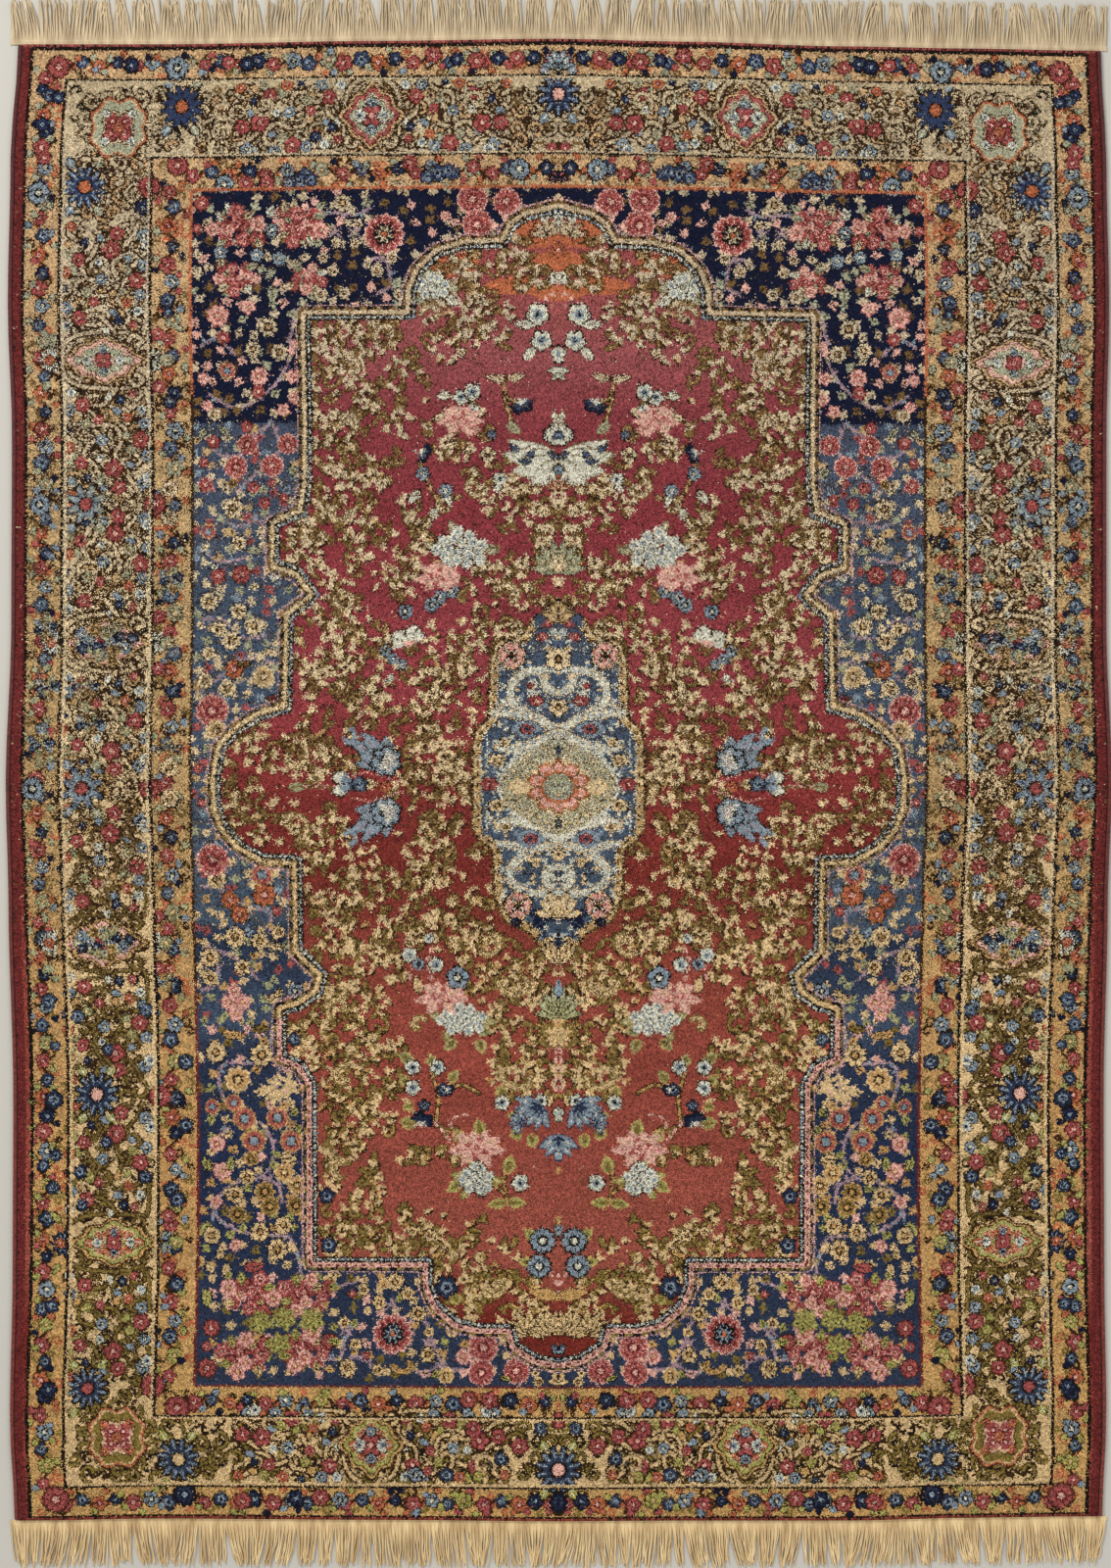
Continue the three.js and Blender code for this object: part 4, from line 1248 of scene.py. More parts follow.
# %% [markdown]
# ## The slips of a hand
# Drawn like this, every edge is too clean. On the real rug a knot leans over its neighbour or is tied one
# place off. So a share of the knots takes the colour of a knot one or two places away.

# %% The small slips of hand knotting
slip = np.random.default_rng(8)
looseness = np.interp(rows, (42, 420, 520, 900, 1050, 1552), (0.4, 0.45, 0.6, 0.6, 0.4, 0.36))
moved = slip.random(chart.shape) < looseness
down, across = np.where(moved, 1, 0) * slip.integers(-2, 3, (2, *chart.shape))
i, j = np.indices(chart.shape)
chart = chart[np.clip(i + down, 0, chart.shape[0] - 1), np.clip(j + across, 0, chart.shape[1] - 1)]
print("knots moved:", int(moved.sum()))


# %% [markdown]
# ## The uneven outline
# A rug from a hand loom is never a true rectangle: the sides draw in where the weft was pulled tight and
# swell where it was slack. The solid has that sway, so its points are read here and the cloth is laid to
# them. That is safer than typing the shape twice, because the two can never drift apart.

# %% The outline of the solid
HALF_WIDTH, HALF_LENGTH = 0.777, 1.057  # half the pile, without cords and fringe
WIDEST = 0.0062  # the height at which the pile is widest
solid = np.array([v.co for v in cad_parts["pile_body"].data.vertices])
widest = solid[np.abs(solid[:, 2] - WIDEST) < 0.0002]


def edge_of(axis, sign):
    """One side's points in order along it: axis 0 for a long side, 1 for an end."""
    half = (HALF_WIDTH, HALF_LENGTH)[axis]
    on = widest[sign * widest[:, axis] > 0.96 * half]
    order = np.argsort(on[:, 1 - axis])
    return on[order, 1 - axis], on[order, axis]


EDGES = {(axis, sign): edge_of(axis, sign) for axis in (0, 1) for sign in (-1, 1)}


def side_at(sign, y):
    return np.interp(y, *EDGES[0, sign])


def end_at(sign, x):
    return np.interp(x, *EDGES[1, sign])


def laid(x, y):
    """Where a point of the straight-sided rug lies in the uneven one; x and y run from -1 to 1."""
    rough_x = np.where(x < 0, -side_at(-1, y * HALF_LENGTH), side_at(1, y * HALF_LENGTH)) * x
    real_y = np.where(y < 0, -end_at(-1, rough_x), end_at(1, rough_x)) * y
    real_x = np.where(x < 0, -side_at(-1, real_y), side_at(1, real_y)) * x
    return real_x, real_y


print("width at the middle", round(float(side_at(1, 0) - side_at(-1, 0)), 4), "m")

# %% [markdown]
# ## The pile as a grid
# Geometry for 1.7 million knots would choke any computer, so one square face carries a block of five by
# five. The grid is bent to the uneven outline, and four rings round it turn the pile's edge down to the
# floor, where the tufts lean over. The top waves by a third of a millimetre, because an old rug never
# lies dead flat.

# %% The grid's points
BLOCK = 5  # knots along one side of a face
EDGE_RINGS = ((0.0024, 0.0086), (0.0008, 0.0076), (0.0, WIDEST), (0.0, 0.0015), (0.001, 0.0))  # inset, height
whole = np.concatenate([chart, chart[:, ::-1]], 1)[::-1]  # mirrored, and row 0 moved to the foot
BLOCKS_HIGH, BLOCKS_WIDE = whole.shape[0] // BLOCK, whole.shape[1] // BLOCK
column, row = np.meshgrid(np.arange(BLOCKS_WIDE + 1), np.arange(BLOCKS_HIGH + 1))
share_x, share_y = column / BLOCKS_WIDE * 2 - 1, row / BLOCKS_HIGH * 2 - 1


def inset_places(x, y, inset):
    return laid(x * (1 - inset / HALF_WIDTH), y * (1 - inset / HALF_LENGTH))


grid_x, grid_y = inset_places(share_x, share_y, EDGE_RINGS[0][0])
waves = np.sin(grid_x * 9 + 2 * np.sin(grid_y * 5)) + np.sin(grid_y * 11 + grid_x * 4)
grid_z = PILE_TOP - 0.0007 + 0.00035 * waves
on_edge = (column == 0) | (column == BLOCKS_WIDE) | (row == 0) | (row == BLOCKS_HIGH)
grid_z[on_edge] = EDGE_RINGS[0][1]
print("blocks of knots:", BLOCKS_WIDE, "by", BLOCKS_HIGH)

# %% Faces of the top and the edge
index = np.arange(grid_x.size).reshape(grid_x.shape)
block = np.arange(BLOCKS_HIGH * BLOCKS_WIDE).reshape(BLOCKS_HIGH, BLOCKS_WIDE)
top_faces = np.stack([index[:-1, :-1], index[:-1, 1:], index[1:, 1:], index[1:, :-1]], -1).reshape(-1, 4)
rim = np.concatenate([index[0, :-1], index[:-1, -1], index[-1, :0:-1], index[:0:-1, 0]])
rim_block = np.concatenate([block[0], block[:, -1], block[-1, ::-1], block[::-1, 0]])
rim_x, rim_y = share_x.ravel()[rim], share_y.ravel()[rim]
rings = [rim]
points = [np.stack([grid_x.ravel(), grid_y.ravel(), grid_z.ravel()], 1)]
faces, face_block = [top_faces], [block.ravel()]
for number, (inset, z) in enumerate(EDGE_RINGS[1:]):
    x, y = inset_places(rim_x, rim_y, inset)
    points.append(np.stack([x, y, np.full(x.shape, z)], 1))
    ring = np.arange(len(rim)) + grid_x.size + number * len(rim)
    faces.append(np.stack([rings[-1], ring, np.roll(ring, -1), np.roll(rings[-1], -1)], 1))
    face_block.append(rim_block)
    rings.append(ring)

# %% Faces of the underside
foot = rings[-1]
right = foot[BLOCKS_WIDE:BLOCKS_WIDE + BLOCKS_HIGH + 1]
left = np.concatenate([foot[2 * BLOCKS_WIDE + BLOCKS_HIGH:], foot[:1]])[::-1]
near_end, far_end = foot[:BLOCKS_WIDE + 1], foot[BLOCKS_WIDE + BLOCKS_HIGH:2 * BLOCKS_WIDE + BLOCKS_HIGH + 1]
strips = range(1, BLOCKS_HIGH - 1)
under = [[int(right[k]), int(left[k]), int(left[k + 1]), int(right[k + 1])] for k in strips]
under.append([int(v) for v in near_end[::-1]] + [int(left[1]), int(right[1])])
under.append([int(v) for v in far_end[::-1]] + [int(right[-2]), int(left[-2])])

pile_mesh = bpy.data.meshes.new("knotted_pile")
upper = np.concatenate(faces)
pile_mesh.from_pydata(np.concatenate(points).tolist(), [], upper.tolist() + under)
pile_mesh.update()
pile = placed("knotted_pile", pile_mesh)
pile_mesh.polygons.foreach_set("use_smooth", np.arange(len(pile_mesh.polygons)) < len(upper))
pile_mesh.polygons.foreach_set("material_index", np.arange(len(pile_mesh.polygons)) >= len(upper))
print("pile faces", len(pile_mesh.polygons))

# %% [markdown]
# ## Packing the chart into the mesh
# The chart travels with the mesh, without any image file. With sixteen dyes, a row of five knots is a
# five-figure number in base sixteen, and a face needs five of those. Two vector attributes hold them and
# one random value that makes every block a little different. A UV map that runs from 0 to 1 across each
# face tells the shader where in the block it stands.

# %% The chart as numbers on the faces
DYE_COUNT = 16
by_block = whole.reshape(BLOCKS_HIGH, BLOCK, BLOCKS_WIDE, BLOCK).transpose(0, 2, 1, 3)
by_block = by_block.reshape(-1, BLOCK, BLOCK)
row_numbers = (by_block.astype(np.float64) * float(DYE_COUNT) ** np.arange(BLOCK)).sum(2)
carried = np.concatenate(face_block)
held = np.zeros((len(pile_mesh.polygons), 6), np.float32)
held[:len(carried), :BLOCK] = row_numbers[carried]
held[:len(carried), BLOCK] = np.random.default_rng(3).random(len(row_numbers))[carried]
for name, part in (("knot_rows_1_to_3", held[:, :3]), ("knot_rows_4_5_and_seed", held[:, 3:])):
    pile_mesh.attributes.new(name, "FLOAT_VECTOR", "FACE").data.foreach_set("vector", part.ravel())
print("largest row number", int(row_numbers.max()))

# %% Where each corner stands in its block
SLIVER = 0.04
low, high = SLIVER, 1 - SLIVER
edge_uv = np.concatenate([
    np.tile([[0, low], [1, low]], (BLOCKS_WIDE, 1, 1)), np.tile([[high, 0], [high, 1]], (BLOCKS_HIGH, 1, 1)),
    np.tile([[1, high], [0, high]], (BLOCKS_WIDE, 1, 1)), np.tile([[low, 1], [low, 0]], (BLOCKS_HIGH, 1, 1))])
edge_uv = edge_uv[:, (0, 0, 1, 1)]
one_block = [[0, 0], [1, 0], [1, 1], [0, 1]]
block_uv = [np.tile(one_block, (len(top_faces), 1, 1))] + [edge_uv] * (len(EDGE_RINGS) - 1)
corner_uv = np.zeros((len(pile_mesh.loops), 2), np.float32)
filled = np.concatenate(block_uv).reshape(-1, 2)
corner_uv[:len(filled)] = filled
pile_mesh.uv_layers.new(name="knot_block").data.foreach_set("uv", corner_uv.ravel())

# %% [markdown]
# ## A flat map for baking
# When the rug is exported, its shader is painted into one square picture. A second UV map gives nearly
# all of it to the top, with a frame for the turned-down edge and a strip for the underside. No two faces
# share a place, or they would paint over each other.

# %% The map for baking
TOP_LOW, TOP_HIGH = (0.012, 0.092), (0.988, 0.988)  # the part of the square that the top fills
spread_out = np.linspace(0, 1, len(EDGE_RINGS))
flat_x, flat_y = (share_x + 1) / 2, (share_y + 1) / 2
flat = [np.stack([flat_x.ravel(), flat_y.ravel()], 1)]
for k in range(1, len(EDGE_RINGS)):
    flat.append((np.stack([rim_x, rim_y], 1) * (1 + 0.02 * spread_out[k]) + 1) / 2)
flat = np.concatenate(flat) * np.subtract(TOP_HIGH, TOP_LOW) + TOP_LOW
corner_points = np.zeros(len(pile_mesh.loops), np.int32)
pile_mesh.loops.foreach_get("vertex_index", corner_points)
bake_uv = flat[corner_points]
under_start = upper.size
under_points = np.concatenate(points)[corner_points[under_start:], :2] / (2 * HALF_WIDTH, 2 * HALF_LENGTH)
bake_uv[under_start:] = (under_points + 0.5) * (0.97, 0.07) + (0.01, 0.004)
pile_mesh.uv_layers.new(name="OFBake").data.foreach_set("uv", bake_uv.astype(np.float32).ravel())
print("baking map between", bake_uv.min().round(3), "and", bake_uv.max().round(3))


# %% [markdown]
# ## Helpers for shaders
# Every material is a small sum of noise, ramps and arithmetic. These functions each add a node to
# `tree`, the one at work, and hand back its output. `join` takes a number or another node's output,
# which keeps recipes short.

# %% Node helpers
def new_material(name, roughness=0.95):
    material = bpy.data.materials.new(name)
    material.use_nodes = True
    shader = material.node_tree.nodes["Principled BSDF"]
    shader.inputs["Roughness"].default_value = roughness
    return material, material.node_tree, shader


def join(socket, value):
    if isinstance(value, bpy.types.NodeSocket):
        socket.id_data.links.new(value, socket)
    else:
        socket.default_value = value


def add(kind, **inputs):
    """One node, with its inputs set or joined by name; a space in a name is written as an underscore."""
    node = tree.nodes.new(kind)
    for label, value in inputs.items():
        join(node.inputs[label.replace("_", " ")], value)
    return node


def calc(operation, *values):
    node = add("ShaderNodeMath")
    node.operation = operation
    for socket, value in zip(node.inputs, values):
        join(socket, value)
    return node.outputs[0]


def times(colour, light):
    node = add("ShaderNodeVectorMath")
    node.operation = "SCALE"
    join(node.inputs[0], colour)
    join(node.inputs["Scale"], light)
    return node.outputs[0]


def mix(factor, a, b):
    node = add("ShaderNodeMix")
    node.data_type = "RGBA"
    for socket, value in zip((node.inputs[0], node.inputs[6], node.inputs[7]), (factor, a, b)):
        join(socket, value)
    return node.outputs[2]


def split(vector):
    return list(add("ShaderNodeSeparateXYZ", Vector=vector).outputs)


# %% Ramps, noise and bumps
def ramp(factor, stops, steps=False):
    node = add("ShaderNodeValToRGB", Fac=factor)
    node.color_ramp.interpolation = "CONSTANT" if steps else "LINEAR"
    elements = node.color_ramp.elements
    elements.remove(elements[-1])
    for number, (place, colour) in enumerate(stops):
        element = elements.new(place) if number else elements[0]
        element.position = place
        element.color = colour
    return node.outputs[0]


def object_place():
    return add("ShaderNodeTexCoord").outputs["Object"]


def up_the_rug(start=0.5):
    """A share of the picture's length that grows from foot to head; start is its value at the middle."""
    return calc("MULTIPLY_ADD", split(object_place())[1], 1 / PICTURE_LONG, start)


def noise(scale, detail=2.0, stretch=(1, 1, 1)):
    mapping = add("ShaderNodeMapping", Vector=object_place(), Scale=stretch)
    return add("ShaderNodeTexNoise", Vector=mapping.outputs[0], Scale=scale, Detail=detail).outputs[0]


def bump(shader, height, distance):
    join(shader.inputs["Normal"], add("ShaderNodeBump", Height=height, Distance=distance).outputs[0])


def wool(r, g, b):
    """A colour as the eye reads it, 0 to 255, in the linear light that a shader wants."""
    return tuple(((c / 255 + 0.055) / 1.055) ** 2.4 for c in (r, g, b)) + (1.0,)


# %% [markdown]
# ## Wool, dye by dye
# The shader first works out which dye a knot has: it takes the row's number, divides it by sixteen as
# often as the knot stands to the right, and the remainder is the dye. A ramp with hard steps turns it
# into a colour.

# %% Which dye a knot has
DYES = {
    RED: (134, 66, 62), WINE: (98, 38, 36), ROSE: (152, 76, 72), PINK: (202, 154, 138),
    CORAL: (166, 94, 62), IVORY: (198, 174, 138), GOLD: (180, 144, 98), OLIVE: (106, 80, 42),
    BROWN: (50, 32, 15), BLACK: (24, 18, 14), NAVY: (18, 22, 42), BLUE: (62, 76, 98),
    SKY: (122, 134, 142), SAGE: (142, 140, 108), WHITE: (192, 188, 168), LILAC: (150, 124, 128),
}
pile_wool, tree, shader = new_material("knotted_wool")
block_map = add("ShaderNodeUVMap")
block_map.uv_map = "knot_block"
in_block = split(block_map.outputs[0])[:2]
across, along = [calc("MULTIPLY", value, float(BLOCK)) for value in in_block]
knot_column = calc("MINIMUM", calc("FLOOR", across), BLOCK - 1.0)
knot_row = calc("MINIMUM", calc("FLOOR", along), BLOCK - 1.0)

numbers = []
for name in ("knot_rows_1_to_3", "knot_rows_4_5_and_seed"):
    read = add("ShaderNodeAttribute")
    read.attribute_name = name
    numbers += split(read.outputs["Vector"])
number = 0.0
for k in range(BLOCK):
    number = calc("MULTIPLY_ADD", calc("COMPARE", knot_row, float(k), 0.1), numbers[k], number)
place_value = calc("POWER", float(DYE_COUNT), knot_column)
moved_down = calc("FLOOR", calc("DIVIDE", calc("ADD", number, 0.5), place_value))
dye = calc("FLOORED_MODULO", moved_down, float(DYE_COUNT))
ladder = calc("DIVIDE", calc("ADD", dye, 0.5), float(DYE_COUNT))
colour = ramp(ladder, [(i / DYE_COUNT, wool(*DYES[i])) for i in range(DYE_COUNT)], steps=True)

# %% [markdown]
# ## Dye lots
# A weaver runs out of one bath of dye and goes on with the next, which is never the same. The bands this
# leaves are called abrash. Here six of the dyes change along the length: the blue is pale in the upper
# half and deep near the foot, and the sage turns to leaf green there.

# %% The lots, by the row of the picture they begin in
LOTS = {
    RED: (
        (1500, 132, 62, 48), (1352, 104, 36, 28), (1290, 142, 74, 60), (1100, 138, 66, 54),
        (1000, 134, 64, 52), (880, 110, 42, 36), (780, 126, 50, 48), (680, 136, 58, 62),
        (520, 124, 50, 54), (420, 126, 56, 60), (360, 140, 74, 74), (220, 132, 66, 60),
    ),
    BLUE: (
        (1420, 44, 52, 70), (1200, 32, 42, 66), (1080, 40, 48, 68), (1040, 62, 74, 92),
        (1000, 46, 56, 74), (960, 38, 48, 68), (940, 66, 78, 92), (700, 64, 76, 92), (450, 64, 72, 88),
        (200, 46, 56, 82),
    ),
    GOLD: (
        (1500, 178, 140, 86), (1160, 180, 138, 86), (840, 170, 138, 92), (520, 176, 146, 102),
        (200, 180, 146, 106),
    ),
    IVORY: (
        (1500, 192, 162, 116), (1000, 200, 170, 124), (600, 200, 178, 140), (300, 184, 165, 136),
        (80, 176, 157, 124),
    ),
    SAGE: ((1500, 152, 146, 78), (1120, 152, 146, 86), (1000, 144, 142, 106), (300, 150, 148, 122)),
    OLIVE: ((1500, 116, 98, 46), (1000, 112, 92, 48), (800, 104, 80, 44), (300, 108, 82, 48)),
}
PICTURE_LONG = PICTURE_HIGH * KNOT
up = up_the_rug(0.5 + AXIS_OFFSET / PICTURE_HIGH)
bath = calc("ADD", up, calc("MULTIPLY_ADD", noise(3.0, 1.0), 0.02, -0.01))
for lot_dye, lots in LOTS.items():
    stops = [(1 - row / PICTURE_HIGH, wool(*rgb)) for row, *rgb in lots]
    is_lot = calc("COMPARE", dye, float(lot_dye), 0.1)
    colour = mix(is_lot, colour, ramp(bath, stops))

# %% [markdown]
# ## Light on the tufts
# Each knot gets its own shade from white noise, small groups of tufts lean together, thin streaks run
# along the rows, and wide soft patches show where feet have pressed the pile. Each tuft has a small dark
# seam round it. Dark wool was dyed with iron, which eats it, so black and brown knots sit lower.

# %% Shades and worn places
seed = calc("MULTIPLY", numbers[5], 977.0)
knot_id = add("ShaderNodeCombineXYZ", X=knot_column, Y=knot_row, Z=seed)
white = add("ShaderNodeTexWhiteNoise", Vector=knot_id.outputs[0])
own_shade = calc("MULTIPLY_ADD", white.outputs["Value"], 1.15, 0.46)
groups = calc("MULTIPLY_ADD", noise(280.0, 2.0), 1.5, 0.25)
streaks = calc("MULTIPLY_ADD", noise(60.0, 3.0, (0.12, 1, 1)), 0.5, 0.75)
patches = calc("MULTIPLY_ADD", noise(9.0, 3.0), 0.3, 0.85)
shade = own_shade
for light in (groups, streaks, patches):
    shade = calc("MULTIPLY", shade, light)
join(shader.inputs["Base Color"], times(colour, shade))
shader.inputs["Sheen Weight"].default_value = 0.03
shader.inputs["Sheen Roughness"].default_value = 0.4
shader.inputs["Specular IOR Level"].default_value = 0.1

# %% Tufts and low dark knots
in_knot = [calc("FRACT", value) for value in (across, along)]
from_middle = [calc("ABSOLUTE", calc("SUBTRACT", value, 0.5)) for value in in_knot]
seam = calc("POWER", calc("MAXIMUM", *from_middle), 3.0)
fibres = calc("ADD", calc("MULTIPLY", noise(900.0, 3.0), 1.2), noise(160.0, 2.0))
tufts = calc("MULTIPLY_ADD", seam, -2.0, fibres)
eaten = calc("ADD", *[calc("COMPARE", dye, float(dark), 0.1) for dark in (BROWN, BLACK)])
bump(shader, calc("MULTIPLY_ADD", eaten, -0.8, tufts), 0.0006)
pile_mesh.materials.append(pile_wool)
print("wool:", len(DYES), "dyes,", len(LOTS), "of them in lots")

# %% [markdown]
# ## The back
# Underneath there is no pile, only the flat loops of the knots between rows of cotton weft. It lies on
# the floor, so a plain weave with the rug's own colours broken small is enough.

# %% The back of the knots
back_weave, tree, shader = new_material("knotted_back")
back_colours = ((0.35, wool(120, 60, 54)), (0.5, wool(188, 162, 124)), (0.62, wool(70, 78, 96)))
join(shader.inputs["Base Color"], ramp(noise(240.0), back_colours))
bump(shader, noise(700.0, 1.0, (0.5, 1, 1)), 0.0003)
pile_mesh.materials.append(back_weave)


# %% [markdown]
# ## Growing yarn along a path
# Side cords and fringe are yarn that follows a line. Geometry Nodes suits that: a path goes in, yarn
# comes out, and the inputs keep their names, so another rug can reuse the tree. These helpers make a
# tree, give it a path of plain edges, and turn what grows into an ordinary mesh.

# %% Helpers for yarn
def tree_with(name, inputs):
    group = bpy.data.node_groups.new(name, "GeometryNodeTree")
    group.interface.new_socket("Geometry", in_out="INPUT", socket_type="NodeSocketGeometry")
    for label, kind in inputs:
        group.interface.new_socket(label, in_out="INPUT", socket_type=kind)
    group.interface.new_socket("Geometry", in_out="OUTPUT", socket_type="NodeSocketGeometry")
    return group, group.nodes.new("NodeGroupInput").outputs, group.nodes.new("NodeGroupOutput").inputs


def in_wool(made, material, end):
    """The last two nodes of every tree: real geometry, then its material."""
    real = add("GeometryNodeRealizeInstances", Geometry=made)
    join(end[0], add("GeometryNodeSetMaterial", Geometry=real.outputs[0], Material=material).outputs[0])


def path_of(lines, name):
    points, edges = np.concatenate(lines), []
    start = 0
    for line in lines:
        edges += [(start + i, start + i + 1) for i in range(len(line) - 1)]
        start += len(line)
    mesh = bpy.data.meshes.new(name)
    mesh.from_pydata(points.tolist(), edges, [])
    return placed(name, mesh)


def grown(path, tree_name, values, name):
    """The plain mesh that a tree grows along a path."""
    group = bpy.data.node_groups[tree_name]
    modifier = path.modifiers.new(tree_name, "NODES")
    modifier.node_group = group
    names = {item.name: item.identifier for item in group.interface.items_tree if item.in_out == "INPUT"}
    for label, value in values.items():
        modifier[names[label]] = value
    made = path.evaluated_get(bpy.context.evaluated_depsgraph_get())
    mesh = bpy.data.meshes.new_from_object(made)
    path.modifiers.clear()
    bpy.data.objects.remove(path)
    print(name, len(mesh.polygons), "faces")
    return placed(name, mesh)


# %% [markdown]
# ## The overcast sides
# The long sides get the hardest wear, so the weaver binds the last warps there with dark red wool. The
# tree sets one oval ring of yarn every two millimetres, and a random lean with a fixed seed keeps the row
# from looking stamped.

# %% The tree for overcast turns
NUMBER, WHOLE_NUMBER, MATERIAL = "NodeSocketFloat", "NodeSocketInt", "NodeSocketMaterial"
tree, given, end = tree_with("overcast_turns", [
    ("Pitch", NUMBER), ("Width", NUMBER), ("Height", NUMBER), ("Yarn", NUMBER), ("Slant", NUMBER),
    ("Seed", WHOLE_NUMBER), ("Wool", MATERIAL)])
line = add("GeometryNodeMeshToCurve", Mesh=given["Geometry"])
stations = add("GeometryNodeCurveToPoints")
stations.mode = "LENGTH"
join(stations.inputs["Curve"], line.outputs[0])
join(stations.inputs["Length"], given["Pitch"])

circle = add("GeometryNodeCurvePrimitiveCircle", Resolution=12, Radius=0.5)
oval = add("ShaderNodeCombineXYZ", X=given["Width"], Y=given["Height"], Z=1.0)
flattened = add("GeometryNodeTransform", Geometry=circle.outputs[0], Scale=oval.outputs[0])
yarn_section = add("GeometryNodeCurvePrimitiveCircle", Resolution=5, Radius=given["Yarn"])
sweep = {"Curve": flattened.outputs[0], "Profile_Curve": yarn_section.outputs[0]}
turn = add("GeometryNodeCurveToMesh", **sweep)

LEAN = 0.06  # radians, to either side
lean = add("FunctionNodeRandomValue", Seed=given["Seed"])
lean.inputs[2].default_value = -LEAN
lean.inputs[3].default_value = LEAN
slant = add("ShaderNodeMath")
join(slant.inputs[0], lean.outputs[1])
join(slant.inputs[1], given["Slant"])
upright = add("ShaderNodeCombineXYZ", X=math.pi / 2, Z=slant.outputs[0])
wound = add("GeometryNodeInstanceOnPoints", Points=stations.outputs[0], Instance=turn.outputs[0],
            Rotation=upright.outputs[0])
in_wool(wound.outputs[0], given["Wool"], end)

# %% Dark red overcasting yarn
red_yarn, tree, shader = new_material("overcast_yarn", 0.9)
RED_YARN = (
    (0.08, wool(120, 50, 38)), (0.3, wool(116, 46, 36)), (0.5, wool(100, 42, 36)),
    (0.75, wool(100, 38, 38)), (0.92, wool(86, 30, 30)),
)
worn = calc("MULTIPLY_ADD", noise(260.0, 3.0), 2.4, -0.12)
join(shader.inputs["Base Color"], times(ramp(up_the_rug(), RED_YARN), worn))
shader.inputs["Sheen Weight"].default_value = 0.15
bump(shader, noise(1600.0, 3.0, (1, 0.4, 1)), 0.0003)

# %% The two side cords
CORD_WIDTH, CORD_HEIGHT, YARN, TURN_PITCH = 0.007, 0.0036, 0.0012, 0.0021
TURN_HIGH, SEAM_GAP = 0.0046, 0.0003
for sign, name in ((-1, "side_cord_left"), (1, "side_cord_right")):
    first, last = [end_at(end_sign, sign * HALF_WIDTH) - end_sign * 0.002 for end_sign in (-1, 1)]
    y = np.linspace(first, last, 200)
    x = side_at(sign, y) + sign * (SEAM_GAP + CORD_WIDTH / 2)
    path = path_of([np.stack([x, y, np.full(y.shape, CORD_HEIGHT)], 1)], name + "_path")
    values = {"Pitch": TURN_PITCH, "Width": CORD_WIDTH - 2 * YARN, "Height": TURN_HIGH, "Yarn": YARN,
              "Slant": 0.15 * sign, "Seed": 5 + sign, "Wool": red_yarn}
    cord = grown(path, "overcast_turns", values, "overcast_" + name)
    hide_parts(name)
    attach(cord, "root")

# %% [markdown]
# ## Cotton at the ends
# The cotton warps come out of the pile at both ends. A few rows of plain cotton weft lock the knots
# there, a flat woven band, and then the warps are cut and hang as the fringe. Old cotton is cream, not
# white.

# %% Cotton
cotton, tree, shader = new_material("cotton_yarn", 0.9)
up = up_the_rug()
light_yarn = ramp(up, ((0.2, wool(246, 220, 168)), (0.8, wool(224, 204, 168))))
dark_yarn = ramp(up, ((0.2, wool(198, 166, 118)), (0.8, wool(184, 162, 128))))
soil = noise(40.0, 3.0, (3, 0.6, 1))
clean = calc("MULTIPLY_ADD", soil, 2.6, -0.8)
clean = calc("MINIMUM", calc("MAXIMUM", clean, 0.0), 1.0)
join(shader.inputs["Base Color"], mix(clean, dark_yarn, light_yarn))
bump(shader, noise(1500.0, 3.0), 0.0003)

# %% The woven band at each end
BAND_WIDTH, BAND_HEIGHT = 0.0065, 0.003
BAND_REACH = HALF_WIDTH + SEAM_GAP + CORD_WIDTH
BAND_SECTION = (  # four cotton wefts side by side: out from the pile, and up
    (0.0, 0.0), (1.0, 0.0), (1.0, 0.5), (0.93, 0.85), (0.8, 0.95), (0.72, 0.8), (0.62, 0.95), (0.5, 0.8),
    (0.4, 1.0), (0.28, 0.82), (0.15, 0.98), (0.0, 0.9))


def end_band(sign, name):
    section, sides = np.array(BAND_SECTION), len(BAND_SECTION)
    x = np.linspace(-BAND_REACH, BAND_REACH, 360)[:, None]
    y = end_at(sign, x) + sign * (SEAM_GAP + section[:, 0] * BAND_WIDTH)
    z = section[:, 1] * BAND_HEIGHT * (1 + 0.06 * np.sin(x * 3000))
    places = np.stack([x + 0 * y, y, z], -1).reshape(-1, 3)
    number = np.arange(len(places)).reshape(-1, sides)
    beside = np.roll(number, -1, axis=1)
    quads = np.stack([number[:-1], beside[:-1], beside[1:], number[1:]], -1).reshape(-1, 4)
    ends = [number[0][::-1].tolist(), number[-1].tolist()]
    faces = quads.tolist() + ends
    if sign > 0:
        faces = [face[::-1] for face in faces]
    mesh = bpy.data.meshes.new(name)
    mesh.from_pydata(places.tolist(), [], faces)
    mesh.materials.append(cotton)
    return placed(name, mesh)


# %% [markdown]
# ## The fringe
# Hundreds of fine cotton yarns lie side by side. They lean together in clumps, as fingers leave them, and
# end unevenly. Each is a short path whose sway is a sum of slow waves, so neighbours move alike, plus a
# little of its own.

# %% The tree for fringe yarns
YARN_INPUTS = [("Thickness", NUMBER), ("Sides", WHOLE_NUMBER), ("Cotton", MATERIAL)]
tree, given, end = tree_with("fringe_yarns", YARN_INPUTS)
line = add("GeometryNodeMeshToCurve", Mesh=given["Geometry"])
size = {"Resolution": given["Sides"], "Radius": given["Thickness"]}
section = add("GeometryNodeCurvePrimitiveCircle", **size)
spun = add("GeometryNodeCurveToMesh", Curve=line.outputs[0], Profile_Curve=section.outputs[0],
           Fill_Caps=True)
in_wool(spun.outputs[0], given["Cotton"], end)

# %% Paths of the fringe
YARNS, YARN_STEPS, YARN_RADIUS = 900, 12, 0.0011
YARN_LENGTHS = 0.051, 0.063  # metres beyond the band
FRINGE_REACH = 0.792  # no yarn strays further from the middle than this


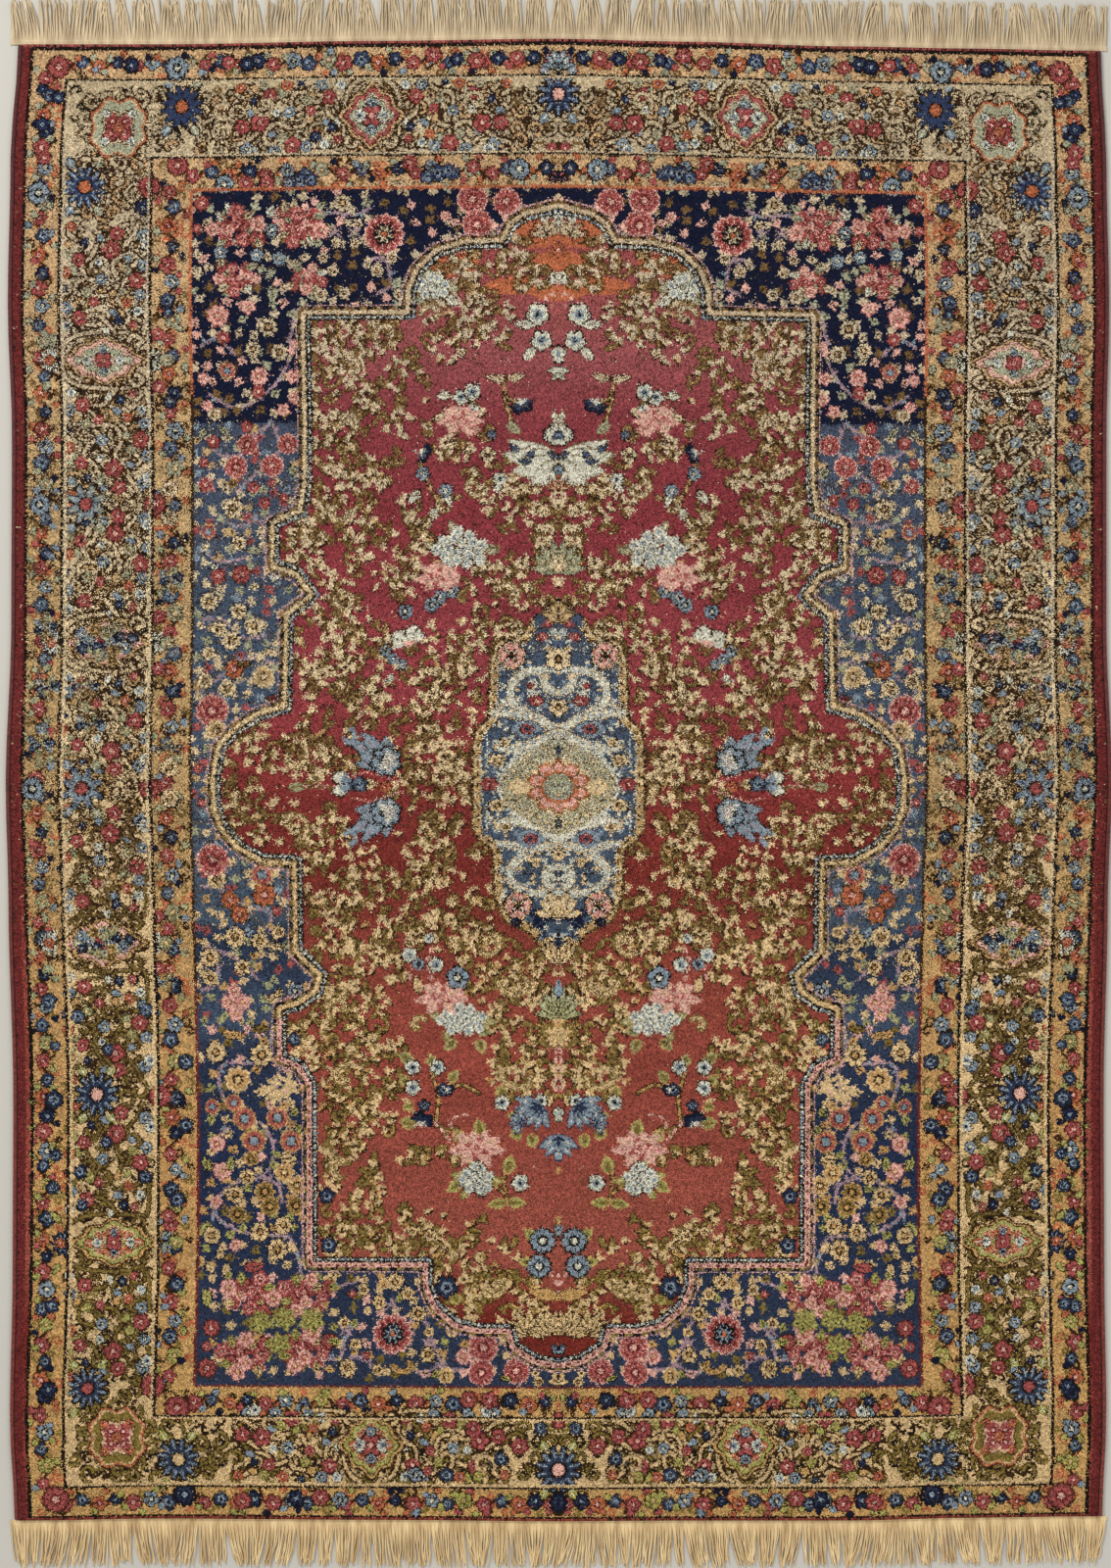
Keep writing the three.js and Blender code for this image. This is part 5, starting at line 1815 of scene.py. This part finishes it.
def fringe_lines(sign, seed):
    pick = random.Random(seed)
    waves = [(pick.uniform(15, 60), pick.uniform(0, 6.3), pick.uniform(0.0015, 0.0045)) for _ in range(7)]
    clumps = [-BAND_REACH]
    while clumps[-1] < BAND_REACH:
        clumps.append(clumps[-1] + pick.uniform(0.012, 0.04))
    t = np.linspace(0, 1, YARN_STEPS)
    lines = []
    for k in range(YARNS):
        x = (BAND_REACH - 0.002) * (2 * k / (YARNS - 1) - 1)
        i = min(int(np.searchsorted(clumps, x)), len(clumps) - 1)
        middle = (clumps[i - 1] + clumps[i]) / 2
        drift = sum(size * math.sin(pace * x + phase) for pace, phase, size in waves)
        drift += (middle - x) * 0.4 + (x / BAND_REACH) ** 7 * 0.004 + pick.gauss(0, 0.0024)
        length = pick.uniform(*YARN_LENGTHS)
        wiggle, phase, pace = pick.uniform(0.0003, 0.0012), pick.uniform(0, 6.3), pick.uniform(7, 14)
        layer = YARN_RADIUS * (1 + 1.3 * (k % 3)) + 0.0002
        line_x = x + drift * t ** 1.6 + wiggle * np.sin(pace * t + phase) * t
        line_x = np.clip(line_x, YARN_RADIUS - FRINGE_REACH, FRINGE_REACH - YARN_RADIUS)
        line_y = end_at(sign, x) + sign * (SEAM_GAP + BAND_WIDTH - 0.0015 + length * t)
        line_z = np.maximum(layer + (0.0016 - layer) * (1 - t) ** 6, YARN_RADIUS)
        lines.append(np.stack([line_x, line_y, line_z], 1))
    return lines


# %% Bands and fringes at both ends
for sign, node, seed in ((1, "fringe_top", 31), (-1, "fringe_bottom", 57)):
    band = end_band(sign, node.replace("fringe", "woven_band"))
    values = {"Thickness": YARN_RADIUS, "Sides": 5, "Cotton": cotton}
    path = path_of(fringe_lines(sign, seed), node + "_paths")
    yarns = grown(path, "fringe_yarns", values, "loose_" + node)
    for piece in (band, yarns):
        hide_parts(node)
        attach(piece, "root")

# %% [markdown]
# ## One cloth
# The pile is the sheet, and the cords, bands and fringes belong to it. Laid flat it is as wide and as
# long as the pile itself, because nothing in it is folded or stretched.

# %% The sheet
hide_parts("pile_body")
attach(pile, "root")

# %% [markdown]
# ## The room
# A plain pale floor, soft light from a large lamp at the upper left, and a weaker one opposite. The
# edge's narrow shadow is all that tells the eye that the rug is nearly a centimetre thick.

# %% The floor
FLOOR = 6  # metres from the rug's middle to each edge of the floor
floor_mesh = bpy.data.meshes.new("floor")
corners = [(x * FLOOR, y * FLOOR, 0) for x, y in ((-1, -1), (1, -1), (1, 1), (-1, 1))]
floor_mesh.from_pydata(corners, [], [(0, 1, 2, 3)])
floor = placed("floor", floor_mesh)
floor_paint, tree, shader = new_material("pale_floor", 0.9)
shader.inputs["Base Color"].default_value = wool(198, 194, 184)
floor_mesh.materials.append(floor_paint)

# %% Soft light
world = bpy.data.worlds.new("studio")
bpy.context.scene.world = world
world.use_nodes = True
background = world.node_tree.nodes["Background"].inputs
background["Color"].default_value = (1, 1, 1, 1)
background["Strength"].default_value = 0.55
LAMPS = (("key", (-2.6, 3.2, 4.2), 2.4, 190), ("fill", (3.0, -2.0, 4.5), 3.0, 60))  # place, size, watts
for name, place, size, energy in LAMPS:
    data = bpy.data.lights.new(name, "AREA")
    data.shape = "DISK"
    data.size = size
    data.energy = energy
    lamp = placed(name, data)
    lamp.location = place
    lamp.rotation_euler = (-lamp.location).to_track_quat("-Z", "Y").to_euler()
bpy.context.scene.view_settings.view_transform = "Standard"
